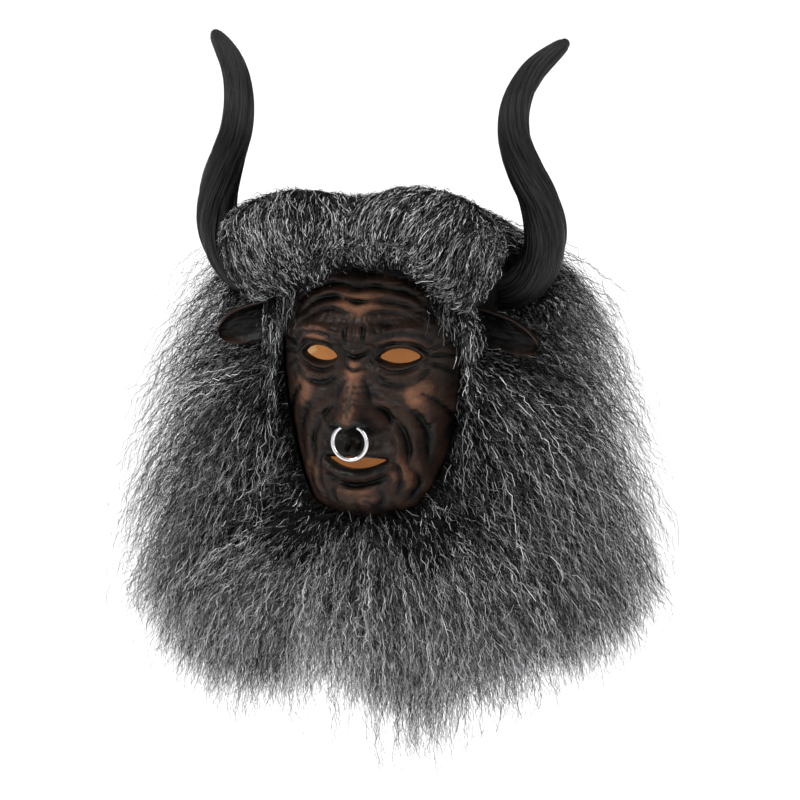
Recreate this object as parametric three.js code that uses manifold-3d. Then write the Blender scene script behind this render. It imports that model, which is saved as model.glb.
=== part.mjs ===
// Bull-man mask: a moulded latex head with hollow horns, cupped ears and a septum ring,
// dressed with panels of long synthetic fur on a knitted backing.
// Millimetres, +Z up. The face looks along -Y and the wearer's left is +X. The origin is the
// centre of the crown pad's flat underside, where the mask rests on the wearer's head.
import * as THREE from "three";
import { mergeVertices } from "three/addons/utils/BufferGeometryUtils.js";
import Module from "manifold-3d";

const wasm = await Module();
wasm.setup();

// ---------- driving dimensions ----------
const LATEX_WALL = 3.5; // the moulded head's wall
const GAP = 0.3; // left between pieces that are glued or sewn face to face
const CLOTH_INNER = 2.2; // the knitted backing's inner face, off the moulded head
const CLOTH_WALL = 1.3;
const FUR_INNER = CLOTH_INNER + CLOTH_WALL + 0.5;
const PAD_WALL = 8;
const CROWN_PAD_RADIUS = 38;
const EYE = { x: 33, z: -98, halfWidth: 16, halfHeight: 6.5, lift: 1.5 };
const MOUTH = { z: -181, halfWidth: 25, halfHeight: 4.5, sag: 3 };
const RING = { radius: 14.2, wire: 1.8, pivot: new THREE.Vector3(0, -118, -149.5) };
const RING_SWING = { min: -40, max: 15, step: 11 }; // degrees about +X
const RING_CLEARANCE = 0.9;
const HORN_WALL = 2.5;
const HORN_FLANGE = { radius: 31, wall: 2.6 };
const EAR = { root: [72, -36, -73], tip: [136, -36, -90], halfWidth: 19, cup: 9, wall: 3 };
const FORELOCK = { x: 47, y: -80, z: -6, radii: [70, 60, 46] };
const CROWN_FUR_FLOOR = -14; // where the crown panel stops and the mane panels begin
const MANE_EDGES = [48, 90, 135, 180]; // degrees from the face, on each side
const BEARD_TOP = -206;

// ---------- the moulded head ----------
// Three outlines of the bare head, crown to neck hem, that share one row number:
// [y, z] up the front, [x, z] at the side and [y, z] down the back.
const FRONT = [
  [0, 11.5], [-38, 9], [-70, -6], [-89, -32], [-97, -62], [-98, -92], [-97, -125],
  [-98, -158], [-98, -190], [-93, -218], [-76, -231], [-58, -240], [-57, -268],
];
const SIDE = [
  [0, 11.5], [30, 9.5], [60, -4], [78, -32], [84, -66], [85, -98], [82, -130],
  [76, -162], [69, -192], [62, -218], [58, -234], [56, -250], [58, -268],
];
const BACK = [
  [0, 11.5], [38, 9.5], [74, -4], [98, -34], [108, -72], [109, -108], [102, -140],
  [92, -170], [82, -198], [76, -222], [73, -238], [72, -252], [74, -268],
];
const LAST_ROW = FRONT.length - 1;

const outlineOf = (points) => new THREE.SplineCurve(points.map((p) => new THREE.Vector2(...p)));
const [frontLine, sideLine, backLine] = [FRONT, SIDE, BACK].map(outlineOf);
const bump = (distance, width) => Math.exp(-((distance / width) ** 2));
const smooth = (low, high, v) => THREE.MathUtils.smoothstep(v, low, high);
const radians = THREE.MathUtils.degToRad;

// A point of the bare head at a row and an angle from the face, both as real numbers.
function bareHead(row, angle) {
  const at = row / LAST_ROW;
  const side = sideLine.getPoint(at);
  const c = Math.cos(angle);
  const end = (c > 0 ? frontLine : backLine).getPoint(at);
  const z = side.y + (end.y - side.y) * c * c;
  return new THREE.Vector3(side.x * Math.sin(angle), end.x * Math.abs(c), z);
}

function headNormal(row, angle) {
  const step = 0.02;
  const low = Math.max(row, step);
  const down = bareHead(Math.min(low + step, LAST_ROW), angle).sub(bareHead(low - step, angle));
  const round = bareHead(low, angle + step).sub(bareHead(low, angle - step));
  return round.cross(down).negate().normalize();
}

// The nose's height above the bare head along the middle of the face.
const noseLine = new THREE.SplineCurve(
  [[-84, 0], [-94, 5], [-108, 11], [-124, 19], [-138, 29], [-147, 34], [-152, 31],
    [-156, 19], [-160, 5], [-166, 0]].map((p) => new THREE.Vector2(...p)),
);
const noseSamples = noseLine.getPoints(120);

function noseHeight(z) {
  const i = noseSamples.findIndex((p) => p.x < z);
  if (i < 1) return 0;
  const [a, b] = [noseSamples[i - 1], noseSamples[i]];
  return Math.max(0, a.y + ((z - a.x) / (b.x - a.x)) * (b.y - a.y));
}

// How far the face stands in front of the bare head.
function faceRelief(x, z) {
  const side = Math.abs(x);
  const noseWidth = 9 + 8 * smooth(-95, -145, z);
  const nose = noseHeight(z) * bump(x, noseWidth);
  const nostrilWing = 12 * bump(side - 15, 7) * bump(z + 149, 7);
  const brow = 9 * bump(z + 80 - side * 0.06, 9) * smooth(64, 40, side);
  const socket = -7 * bump(side - EYE.x, 19) * bump(z - EYE.z, 11);
  const cheek = 5 * bump(side - 46, 17) * bump(z + 128, 18);
  const muzzle = 5 * bump(x, 34) * bump(z + 176, 17);
  const lips = 3.5 * bump(x, 24) * (bump(z - MOUTH.z - 8, 5) + bump(z - MOUTH.z + 10, 5.5));
  const chin = 7 * bump(x, 22) * bump(z + 212, 13);
  const sum = nose + nostrilWing + brow + socket + cheek + muzzle + lips + chin;
  return sum * smooth(-234, -224, z);
}

function headPoint(row, angle, offset, relief) {
  const bare = bareHead(row, angle);
  const point = headNormal(row, angle).multiplyScalar(offset).add(bare);
  const fade = smooth(0, 0.35, Math.cos(angle));
  point.y -= relief * fade * faceRelief(bare.x, bare.z);
  return point;
}

const range = (from, to, step) =>
  Array.from({ length: Math.round((to - from) / step) }, (_, i) => from + i * step);
// Angles all the way round, closer together in front of the face.
function anglesRound(inFront, behind, crowding) {
  const front = range(-1, 1, 2 / inFront)
    .map((u) => (Math.PI / 2) * u * (1 - crowding + crowding * Math.abs(u)));
  return [...front, ...range(Math.PI / 2, 1.5 * Math.PI, Math.PI / behind)];
}

// What each layer is sampled at. Layers that lie on each other share a grid, so they stay parallel.
const OUTSIDE = {
  rows: [...range(0.5, 4, 0.5), ...range(4, 6.5, 0.25), ...range(6.5, 8.5, 0.125),
    ...range(8.5, 10, 0.25), ...range(10, 12.5, 0.5)],
  angles: anglesRound(28, 12, 0.5),
};
const INSIDE = { rows: range(0.6, 12.6, 0.6), angles: anglesRound(16, 10, 0) };
const CLOTH = { rows: range(0.75, 12.75, 0.75), angles: anglesRound(14, 12, 0) };

// ---------- solids ----------
function geometryOf(positions, triangles) {
  const array = new Float32Array(positions.flatMap((p) => [p.x, p.y, p.z]));
  return new THREE.BufferGeometry()
    .setAttribute("position", new THREE.BufferAttribute(array, 3))
    .setIndex(triangles.flat());
}

function solidOf(geometry) {
  const bare = new THREE.BufferGeometry()
    .setAttribute("position", geometry.getAttribute("position"))
    .setIndex(geometry.index);
  const merged = mergeVertices(bare, 1e-4);
  const corners = merged.index.array;
  const kept = [];
  for (let i = 0; i < corners.length; i += 3) {
    const [a, b, c] = corners.slice(i, i + 3);
    if (a !== b && b !== c && c !== a) kept.push(a, b, c);
  }
  return new wasm.Manifold(new wasm.Mesh({
    numProp: 3,
    vertProperties: merged.attributes.position.array,
    triVerts: new Uint32Array(kept),
  }));
}

function placed(geometry, position, rotation = [0, 0, 0], scale = [1, 1, 1]) {
  const turn = new THREE.Quaternion().setFromEuler(new THREE.Euler(...rotation));
  const matrix = new THREE.Matrix4()
    .compose(new THREE.Vector3(...position), turn, new THREE.Vector3(...scale));
  return solidOf(geometry.applyMatrix4(matrix));
}

// A closed solid through rings of points, each ring running the same way round,
// with its first and last rings closed to their middles.
function loft(rings) {
  const count = rings[0].length;
  const middle = (ring) =>
    ring.reduce((sum, p) => sum.add(p), new THREE.Vector3()).divideScalar(count);
  const positions = [...rings.flat(), middle(rings[0]), middle(rings.at(-1))];
  const [top, bottom] = [positions.length - 2, positions.length - 1];
  const lastRing = (rings.length - 1) * count;
  const triangles = [];
  for (let i = 0; i < count; i++) {
    const next = (i + 1) % count;
    triangles.push([top, i, next], [bottom, lastRing + next, lastRing + i]);
    for (let r = 0; r < lastRing; r += count) {
      triangles.push([r + i, r + count + i, r + next]);
      triangles.push([r + next, r + count + i, r + count + next]);
    }
  }
  return solidOf(geometryOf(positions, triangles));
}

// The head's form at an offset from the bare head. It runs on below the hem by extra.
function headForm(grid, offset, relief, extra = 0) {
  const rings = grid.rows.map((row) => grid.angles.map((a) => headPoint(row, a, offset, relief)));
  if (extra) rings.push(rings.at(-1).map((p) => p.clone().setZ(p.z - extra)));
  return loft(rings);
}

// Everything between two angles from the face and two heights, with half a gap off each side.
function wedge(fromDegrees, toDegrees, low, high) {
  const [from, to] = [radians(fromDegrees), radians(toDegrees)];
  const half = (to - from) / 2;
  const reach = 400;
  const towards = (angle, r) => new THREE.Vector2(Math.sin(angle) * r, -Math.cos(angle) * r);
  const apex = towards(from + half, GAP / 2 / Math.sin(half));
  const outer = [from, from + half, to].map((a) => towards(a, reach / Math.cos(half)).add(apex));
  const shape = new THREE.Shape([apex, ...outer]);
  const geometry = new THREE.ExtrudeGeometry(shape, { depth: high - low, bevelEnabled: false });
  return placed(geometry, [0, 0, low]);
}

function block(low, high) {
  const size = low.map((v, i) => high[i] - v);
  return placed(new THREE.BoxGeometry(...size), low.map((v, i) => v + size[i] / 2));
}

function ellipsoid(centre, radii, grow = 0) {
  const scale = radii.map((r) => r + grow);
  return placed(new THREE.SphereGeometry(1, 18, 12), centre, [Math.PI / 2, 0, 0],
    [scale[0], scale[2], scale[1]]);
}

// ---------- openings in the face ----------
const frontPrism = (shape, from, to) => placed(
  new THREE.ExtrudeGeometry(shape, { depth: to - from, bevelEnabled: false, curveSegments: 8 }),
  [0, to, 0], [Math.PI / 2, 0, 0],
);

// A leaf-shaped hole between two corners, with its upper and lower edges as curves.
function leafHole(x, z, halfWidth, up, down) {
  const shape = new THREE.Shape();
  shape.moveTo(x - halfWidth, z);
  shape.bezierCurveTo(x - halfWidth * 0.45, z + up, x + halfWidth * 0.45, z + up, x + halfWidth, z);
  shape.bezierCurveTo(x + halfWidth * 0.45, z - down, x - halfWidth * 0.45, z - down,
    x - halfWidth, z);
  return frontPrism(shape, -160, -50);
}

const ringTorus = (wire, degrees) => {
  const geometry = new THREE.TorusGeometry(RING.radius, wire, 8, 32);
  geometry.rotateX(Math.PI / 2).translate(0, 0, -RING.radius);
  return placed(geometry, RING.pivot.toArray(), [radians(degrees), 0, 0]);
};

function faceOpenings() {
  const eyeUp = EYE.halfHeight * 1.33 + EYE.lift;
  const eyes = [-1, 1].map((s) =>
    leafHole(s * EYE.x, EYE.z, EYE.halfWidth, eyeUp, EYE.halfHeight * 1.33 - EYE.lift));
  const mouth = leafHole(0, MOUTH.z, MOUTH.halfWidth, MOUTH.halfHeight - MOUTH.sag / 3,
    MOUTH.halfHeight * 1.5 + MOUTH.sag);
  const nostrils = [-1, 1].map((s) => ellipsoid([s * 9, -117, -153.5], [5.3, 9, 9]));
  const swings = [];
  for (let a = RING_SWING.min; a <= RING_SWING.max; a += RING_SWING.step)
    swings.push(ringTorus(RING.wire + RING_CLEARANCE, a));
  return [...eyes, mouth, ...nostrils, ...swings];
}

// ---------- horns and ears ----------
// The wearer's left horn: its middle line from inside the skull to the tip, and its radius.
const HORN_LINE = new THREE.CatmullRomCurve3([
  [58, 4, -34], [88, -3, -45], [113, -10, -45], [131, -17, -29], [139, -24, -2], [136, -32, 25],
  [126, -40, 52], [117, -42, 79], [117, -36, 105], [127, -20, 130], [148, 2, 151],
].map((p) => new THREE.Vector3(...p)));
const hornRadius = (at) => 4.5 + 16.5 * (1 - at) ** 0.52;

function horn(grow, until = 1, sides = 14) {
  const steps = 25;
  const frames = HORN_LINE.computeFrenetFrames(steps);
  const rings = [];
  for (let i = 0; i <= steps * until; i++) {
    const centre = HORN_LINE.getPointAt(i / steps);
    const radius = hornRadius(i / steps) + grow;
    rings.push(Array.from({ length: sides }, (_, k) => {
      const angle = (2 * Math.PI * k) / sides;
      return frames.normals[i].clone().multiplyScalar(radius * Math.cos(angle))
        .addScaledVector(frames.binormals[i], -radius * Math.sin(angle)).add(centre);
    }));
  }
  if (until < 1) return loft(rings);
  // The tip is rounded by two smaller rings past the end of the line.
  const along = HORN_LINE.getTangentAt(1);
  const last = HORN_LINE.getPointAt(1);
  for (const bend of [40, 72]) {
    const [shrink, ahead] = [Math.cos(radians(bend)), Math.sin(radians(bend))];
    rings.push(rings[steps].map((p) => p.clone().sub(last).multiplyScalar(shrink)
      .addScaledVector(along, ahead * (hornRadius(1) + grow)).add(last)));
  }
  return loft(rings);
}

// A cupped leaf, hollow side forward and down. The wearer's left ear.
function ear(grow) {
  const root = new THREE.Vector3(...EAR.root);
  const tip = new THREE.Vector3(...EAR.tip);
  const across = new THREE.Vector3(0.08, -0.42, 0.9).normalize();
  const back = new THREE.Vector3(0.05, 0.9, 0.42).normalize();
  const side = (at, v, lift) => {
    const width = EAR.halfWidth * (0.5 + 0.5 * Math.sin(Math.PI * (0.17 + 0.62 * at)));
    const edge = Math.sqrt(Math.max(0, 1 - Math.max(0, (at - 0.6) / 0.42) ** 2.4));
    const cup = EAR.cup * (1 - v * v) * (1 - 0.35 * at);
    return root.clone().lerp(tip, at).addScaledVector(across, v * (width * edge + grow))
      .addScaledVector(back, cup + lift);
  };
  const steps = 10;
  const halfRing = range(-1, 1.25, 0.25);
  const rings = range(0, steps + 1, 1).map((i) => {
    const at = i / steps;
    const outer = halfRing.map((v) => side(at, v, EAR.wall / 2 + grow));
    const inner = halfRing.map((v) => side(at, v, -EAR.wall / 2 - grow)).reverse();
    return [...outer, ...inner].reverse();
  });
  return loft(rings);
}

const mirrored = (solid) => solid.mirror([1, 0, 0]);
const bothSides = (solid) => ({ left: solid, right: mirrored(solid) });

// ---------- fur ----------
// The dressed fur's outline: height, half width, depth in front and depth behind.
const FUR_OUTLINE = [
  [20, 34, 26, 34], [15, 68, 48, 70], [2, 96, 58, 98], [-14, 118, 48, 118], [-32, 146, 32, 130],
  [-58, 170, 28, 142], [-108, 190, 40, 152], [-158, 206, 62, 158], [-208, 220, 84, 162],
  [-258, 229, 102, 164], [-308, 228, 110, 162], [-350, 212, 108, 150], [-390, 184, 98, 130],
  [-430, 132, 84, 106],
];
// The room left inside the hanging fur for the wearer's neck and shoulders.
const FUR_HOLLOW = [
  [-236, 58, 52, 74], [-268, 66, 63, 82], [-300, 92, 68, 92], [-350, 108, 72, 96],
  [-436, 104, 68, 88],
];
const FUR_SIDES = 28;

function furLoft(outline) {
  return loft(outline.map(([z, width, front, behind]) =>
    range(0, FUR_SIDES, 1).map((i) => {
      const angle = (2 * Math.PI * i) / FUR_SIDES;
      const depth = Math.cos(angle) > 0 ? front : behind;
      return new THREE.Vector3(width * Math.sin(angle), -depth * Math.cos(angle), z);
    })));
}

// The face's outline, seen from the front. No fur or backing lies inside it.
function faceWindow() {
  const right = [[36, -229], [58, -203], [70, -165], [76, -120], [77, -76], [60, -44], [0, -26]];
  const shape = new THREE.Shape();
  shape.moveTo(0, -238);
  shape.splineThru(right.map((p) => new THREE.Vector2(...p)));
  shape.splineThru(right.slice(0, -1).reverse().map(([x, z]) => new THREE.Vector2(-x, z)));
  shape.closePath();
  return frontPrism(shape, -250, -4);
}

const union = (solids) => solids.reduce((sum, s) => sum.add(s));
const cut = (solid, cutters) => cutters.reduce((left, c) => left.subtract(c), solid);
// A boolean can leave a crumb beside the piece it makes. Only the piece is kept.
const largest = (solid) =>
  solid.decompose().reduce((best, s) => (s.volume() > best.volume() ? s : best));

// ---------- the pieces ----------
const pieces = {};
const add = (name, solid, material) => { pieces[name] = { solid: largest(solid), material }; };
const addPair = (name, solid, material) => {
  for (const [side, made] of Object.entries(bothSides(solid))) add(`${name}_${side}`, made, material);
};

const colour = (hex, roughness, metalness = 0) =>
  new THREE.MeshStandardMaterial({ color: hex, roughness, metalness });
const paint = colour(0x2b1d16, 0.45);
const rawLatex = colour(0xb98a55, 0.6);
const hornLatex = colour(0x1c1c1c, 0.42);
const foam = colour(0xc9a06c, 0.95);
const steel = colour(0xc8c8c8, 0.18, 1);
const knit = colour(0x1f1f20, 0.95);
const fur = colour(0x4a4a4c, 0.7);

function headPieces() {
  const shell = headForm(OUTSIDE, 0, 1).subtract(headForm(INSIDE, -LATEX_WALL, 0.5, 12));
  const front = block([-200, -200, -300], [200, -GAP / 2, 100]);
  const behind = block([-200, GAP / 2, -300], [200, 200, 100]);
  add("face_shell", cut(shell.intersect(front), faceOpenings()), paint);
  add("rear_shell", shell.intersect(behind), rawLatex);
}

function padPieces() {
  const against = headForm(INSIDE, -LATEX_WALL - GAP, 0.5);
  const layer = against.subtract(headForm(INSIDE, -LATEX_WALL - GAP - PAD_WALL, 0.5, 12));
  const disc = new THREE.CylinderGeometry(CROWN_PAD_RADIUS, CROWN_PAD_RADIUS, 30, 32);
  add("crown_pad", against.intersect(placed(disc, [0, 0, 15], [Math.PI / 2, 0, 0])), foam);
  add("forehead_pad", layer.intersect(wedge(-34, 34, -66, -30)), foam);
  add("nape_pad", layer.intersect(wedge(148, 212, -188, -140)), foam);
  addPair("temple_pad", layer.intersect(wedge(72, 112, -116, -62)), foam);
}

function neckBinding() {
  const hem = (offset, drop) => {
    const ring = INSIDE.angles.map((a) => headPoint(LAST_ROW, a, offset, 0));
    return ring.map((p) => p.setZ(p.z - drop));
  };
  const [top, foot] = [GAP + 0.3, GAP + 6];
  const outer = loft([hem(2, top), hem(2, foot)]);
  const inner = loft([hem(-LATEX_WALL - 1, top - 5), hem(-LATEX_WALL - 1, foot + 5)]);
  add("neck_binding", outer.subtract(inner), knit);
}

const hornClear = horn(0.5);
const hornHoles = [hornClear, mirrored(hornClear)];
const earClear = ear(1.2);
const earHoles = [earClear, mirrored(earClear)];
const flangeDisc = (grow) => {
  const radius = HORN_FLANGE.radius + grow;
  const disc = new THREE.CylinderGeometry(radius, radius, 60, 20);
  return placed(disc, [80, 0, -34], [0, 0, Math.PI / 2]);
};

function hornPieces() {
  const skull = headForm(OUTSIDE, GAP, 1);
  const outer = horn(0).subtract(skull);
  const hollow = horn(-HORN_WALL, 0.88);
  addPair("horn_shell", outer.subtract(hollow), hornLatex);
  addPair("horn_core", horn(-HORN_WALL - GAP, 0.84).subtract(skull), foam);
  const skin = headForm(OUTSIDE, GAP + HORN_FLANGE.wall, 1).subtract(skull);
  addPair("horn_flange", skin.intersect(flangeDisc(0)).subtract(hornClear), hornLatex);
  addPair("ear", ear(0).subtract(skull), paint);
}

// Every fur and backing panel is cut clear of what stands out through it.
const flangeHole = headForm(CLOTH, 6, 1).intersect(flangeDisc(1));
const standingOut = [...hornHoles, ...earHoles, flangeHole, mirrored(flangeHole)];
const window = faceWindow();

function backingPieces() {
  const cloth = headForm(CLOTH, CLOTH_INNER + CLOTH_WALL, 1)
    .subtract(headForm(CLOTH, CLOTH_INNER, 1, 12));
  const holed = cut(cloth, [window, ...standingOut]);
  const [hem, crown] = [-264, CROWN_FUR_FLOOR - 10];
  add("crown_backing", holed.intersect(block([-200, -200, crown], [200, 200, 60])), knit);
  const sides = holed.intersect(block([-200, -200, hem], [200, 200, crown - GAP]));
  addPair("mane_backing", sides.intersect(wedge(48, 135, -300, 0)), knit);
  addPair("rear_backing", sides.intersect(wedge(135, 180, -300, 0)), knit);
  addPair("beard_backing", sides.intersect(wedge(0, 48, -300, BEARD_TOP)), knit);
}

const forelock = (grow) =>
  ellipsoid([FORELOCK.x, FORELOCK.y, FORELOCK.z], FORELOCK.radii, grow);

function furPieces() {
  const skull = headForm(CLOTH, FUR_INNER, 1);
  const middle = block([GAP / 2, -300, -100], [300, 300, 200]);
  addPair("forelock_fur", cut(forelock(0).intersect(middle), [skull, ...standingOut]), fur);
  const lock = forelock(0.5);
  const cutters = [skull, furLoft(FUR_HOLLOW), window, ...standingOut, lock, mirrored(lock)];
  const dressed = cut(furLoft(FUR_OUTLINE), cutters);
  add("crown_fur", dressed.intersect(block([-300, -300, CROWN_FUR_FLOOR], [300, 300, 60])), fur);
  MANE_EDGES.slice(1).forEach((to, i) => {
    const name = ["mane_fur_side", "mane_fur_behind_ear", "mane_fur_rear"][i];
    addPair(name, dressed.intersect(wedge(MANE_EDGES[i], to, -440, CROWN_FUR_FLOOR - GAP)), fur);
  });
  addPair("beard_fur", dressed.intersect(wedge(0, MANE_EDGES[0], -440, BEARD_TOP)), fur);
}

headPieces();
padPieces();
neckBinding();
hornPieces();
backingPieces();
furPieces();
add("nose_ring", ringTorus(RING.wire, 0), steel);

// ---------- the scene graph ----------
function meshOf(name, { solid, material }) {
  const made = solid.getMesh();
  const geometry = new THREE.BufferGeometry()
    .setAttribute("position", new THREE.BufferAttribute(made.vertProperties, 3))
    .setIndex(new THREE.BufferAttribute(made.triVerts, 1));
  geometry.computeVertexNormals();
  const mesh = new THREE.Mesh(geometry, material);
  mesh.name = name;
  return mesh;
}

const mask = new THREE.Group();
mask.name = "bull_man_mask";
mask.add(...Object.entries(pieces).map(([name, piece]) => meshOf(name, piece)));

export default mask;
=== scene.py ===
import math

import bpy
import numpy as np
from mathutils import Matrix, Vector


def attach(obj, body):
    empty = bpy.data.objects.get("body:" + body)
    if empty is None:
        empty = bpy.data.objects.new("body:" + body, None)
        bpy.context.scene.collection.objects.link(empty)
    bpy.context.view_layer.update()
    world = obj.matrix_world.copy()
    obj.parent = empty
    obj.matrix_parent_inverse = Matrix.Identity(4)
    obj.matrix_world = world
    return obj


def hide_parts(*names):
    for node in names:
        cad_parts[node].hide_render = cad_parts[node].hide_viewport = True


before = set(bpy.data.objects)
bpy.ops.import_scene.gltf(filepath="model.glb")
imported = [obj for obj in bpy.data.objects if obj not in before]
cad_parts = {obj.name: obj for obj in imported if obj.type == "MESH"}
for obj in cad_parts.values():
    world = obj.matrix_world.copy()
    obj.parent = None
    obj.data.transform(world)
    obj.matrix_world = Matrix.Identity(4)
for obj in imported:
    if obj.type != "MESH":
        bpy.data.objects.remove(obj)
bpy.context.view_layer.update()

# Lengths are in millimetres until a mesh is made. X is the wearer's left, -Y is out of the face.
MM = 0.001
LATEX_WALL = 3.5
HOLE_EDGE, HOLE_WALL = 1.3, 5.0  # how far back the wall at a hole is drawn, in two steps
CREASE_LIMIT = 2.9  # the deepest a crease cuts, so that it stays outside the lining
KNIT_LIFT, KNIT_THICKNESS = 2.9, 1.3
FLOOR_Z, FLOOR_HALF = -900.0, 30000.0
SENSOR_MM, PICTURE_PIXELS = 36, 800
MASK_MIDDLE = (0, 0, -0.12)  # metres: what the lamps face
SIDES = ((1, "left"), (-1, "right"))
EYE = dict(x=33, z=-98, half=16, up=10.145, down=7.145)
MOUTH = dict(x=0, z=-181, half=25, up=3.5, down=9.75)
NOSTRIL_X, NOSTRIL_Z = 9.5, -153.5
RING_PIVOT, RING_RADIUS, RING_WIRE = np.array([0.0, -118.0, -149.5]), 14.2, 1.8

# The bare head's outlines, crown to neck hem: [y, z] in front, [x, z] at the side, [y, z] behind.
FRONT = np.array([[0, 11.5], [-38, 9], [-70, -6], [-89, -32], [-97, -62], [-98, -92], [-97, -125],
                  [-98, -158], [-98, -190], [-93, -218], [-76, -231], [-58, -240], [-57, -268]], float)
SIDE = np.array([[0, 11.5], [30, 9.5], [60, -4], [78, -32], [84, -66], [85, -98], [82, -130],
                 [76, -162], [69, -192], [62, -218], [58, -234], [56, -250], [58, -268]], float)
BACK = np.array([[0, 11.5], [38, 9.5], [74, -4], [98, -34], [108, -72], [109, -108], [102, -140],
                 [92, -170], [82, -198], [76, -222], [73, -238], [72, -252], [74, -268]], float)
LAST_ROW = len(FRONT) - 1
# The dressed fur's outline: height, half width, depth in front, depth behind.
FUR = np.array([[20, 34, 26, 34], [15, 68, 48, 70], [2, 96, 58, 98], [-14, 118, 48, 118],
                [-32, 146, 32, 130], [-58, 170, 28, 142], [-108, 190, 40, 152], [-158, 206, 62, 158],
                [-208, 220, 84, 162], [-258, 229, 102, 164], [-308, 228, 110, 162],
                [-350, 212, 108, 150], [-390, 184, 98, 130], [-430, 132, 84, 106]], float)
FUR_LIMITS = np.array([[-246, -152, -453], [246, 179, 60]], float)  # what loose fibres stay inside
FORELOCK = dict(centre=np.array([47.0, -80.0, -6.0]), radii=np.array([70.0, 60.0, 46.0]))
EAR_ROOT, EAR_TIP = np.array([72.0, -36, -73]), np.array([136.0, -36, -90])


# ---------- small maths ----------
def smooth(low, high, v):
    t = np.clip((v - low) / (high - low), 0, 1)
    return t * t * (3 - 2 * t)


def bump(distance, width):
    return np.exp(-((distance / width) ** 2))


def unit(v):
    return v / np.maximum(np.linalg.norm(v, axis=-1, keepdims=True), 1e-9)


def spline(points, at):
    """A Catmull-Rom curve through points; at counts points from 0."""
    at = np.clip(at, 0, len(points) - 1)
    i = np.clip(np.floor(at).astype(int), 0, len(points) - 2)
    t = (at - i)[..., None]
    last = len(points) - 1
    a, b, c, d = points[np.maximum(i - 1, 0)], points[i], points[i + 1], points[np.minimum(i + 2, last)]
    v0, v1 = (c - a) / 2, (d - b) / 2
    return (2 * b - 2 * c + v0 + v1) * t**3 + (3 * c - 3 * b - 2 * v0 - v1) * t**2 + v0 * t + b


def cubic(a, b, c, d, t):
    return a * (1 - t) ** 3 + 3 * b * t * (1 - t) ** 2 + 3 * c * t * t * (1 - t) + d * t**3


def joined(*parts):
    """Values side by side along a new last axis."""
    return np.stack(np.broadcast_arrays(*parts), -1)


def grid(first, second):
    """Two runs of values spread over a grid, the first down its rows."""
    return np.meshgrid(first, second, indexing="ij")


LATTICE = np.random.default_rng(5).random((256, 256))


def noise(x, y, wrap=256):
    """Smooth value noise from -1 to 1. It repeats after wrap steps along x."""
    xi, yi = np.floor(x).astype(int), np.floor(y).astype(int)
    fx, fy = x - xi, y - yi
    fx, fy = fx * fx * (3 - 2 * fx), fy * fy * (3 - 2 * fy)
    x0, x1, y0, y1 = xi % wrap, (xi + 1) % wrap, yi & 255, (yi + 1) & 255
    low = LATTICE[x0, y0] * (1 - fx) + LATTICE[x1, y0] * fx
    high = LATTICE[x0, y1] * (1 - fx) + LATTICE[x1, y1] * fx
    return 2 * (low * (1 - fy) + high * fy) - 1


# ---------- the head's form ----------
def bare_head(row, angle):
    at_side = spline(SIDE, row)
    end = np.where((np.cos(angle) > 0)[..., None], spline(FRONT, row), spline(BACK, row))
    z = at_side[..., 1] + (end[..., 1] - at_side[..., 1]) * np.cos(angle) ** 2
    return joined(at_side[..., 0] * np.sin(angle), end[..., 0] * np.abs(np.cos(angle)), z)


def head_normal(row, angle):
    step = 0.02
    low = np.maximum(row, step)
    down = bare_head(np.minimum(low + step, LAST_ROW), angle) - bare_head(low - step, angle)
    round_ = bare_head(low, angle + step) - bare_head(low, angle - step)
    return unit(-np.cross(round_, down))


NOSE = np.array([[-84, 0], [-94, 5], [-108, 11], [-124, 19], [-138, 29], [-147, 34], [-152, 31],
                 [-156, 19], [-160, 5], [-166, 0]], float)
NOSE_LINE = spline(NOSE, np.linspace(0, len(NOSE) - 1, 240))[::-1]


def base_relief(x, z):
    """How far the face stands in front of the bare head, before its creases."""
    side = np.abs(x)
    height = np.maximum(np.interp(z, NOSE_LINE[:, 0], NOSE_LINE[:, 1], left=0, right=0), 0)
    nose = height * bump(x, 9 + 8 * smooth(-95, -145, z))
    wing = 12 * bump(side - 15, 7) * bump(z + 149, 7)
    brow = 9 * bump(z + 80 - side * 0.06, 9) * smooth(64, 40, side)
    socket = -7 * bump(side - EYE["x"], 19) * bump(z - EYE["z"], 11)
    cheek = 5 * bump(side - 46, 17) * bump(z + 128, 18)
    muzzle = 5 * bump(x, 34) * bump(z + 176, 17)
    lips = 3.5 * bump(x, 24) * (bump(z - MOUTH["z"] - 8, 5) + bump(z - MOUTH["z"] + 10, 5.5))
    chin = 7 * bump(x, 22) * bump(z + 212, 13)
    return (nose + wing + brow + socket + cheek + muzzle + lips + chin) * smooth(-234, -224, z)


def leaf(x, z, half, up, down, count=60):
    """The closed outline of a leaf-shaped hole."""
    t = np.linspace(0, 1, count, endpoint=False)[:, None]
    left, right = np.array([x - half, z]), np.array([x + half, z])
    inner = 0.45 * half
    top = cubic(left, np.array([x - inner, z + up]), np.array([x + inner, z + up]), right, t)
    foot = cubic(right, np.array([x + inner, z - down]), np.array([x - inner, z - down]), left, t)
    return np.concatenate([top, foot])


LEAVES = [leaf(**EYE), leaf(**{**EYE, "x": -EYE["x"]}), leaf(**MOUTH)]


def inside(outline, x, z):
    hit = np.zeros(x.shape, bool)
    for (ax, az), (bx, bz) in zip(outline, np.roll(outline, -1, 0)):
        crosses = (az > z) != (bz > z)
        hit ^= crosses & (x < (bx - ax) * (z - az) / (bz - az if bz != az else 1e-9) + ax)
    return hit


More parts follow.
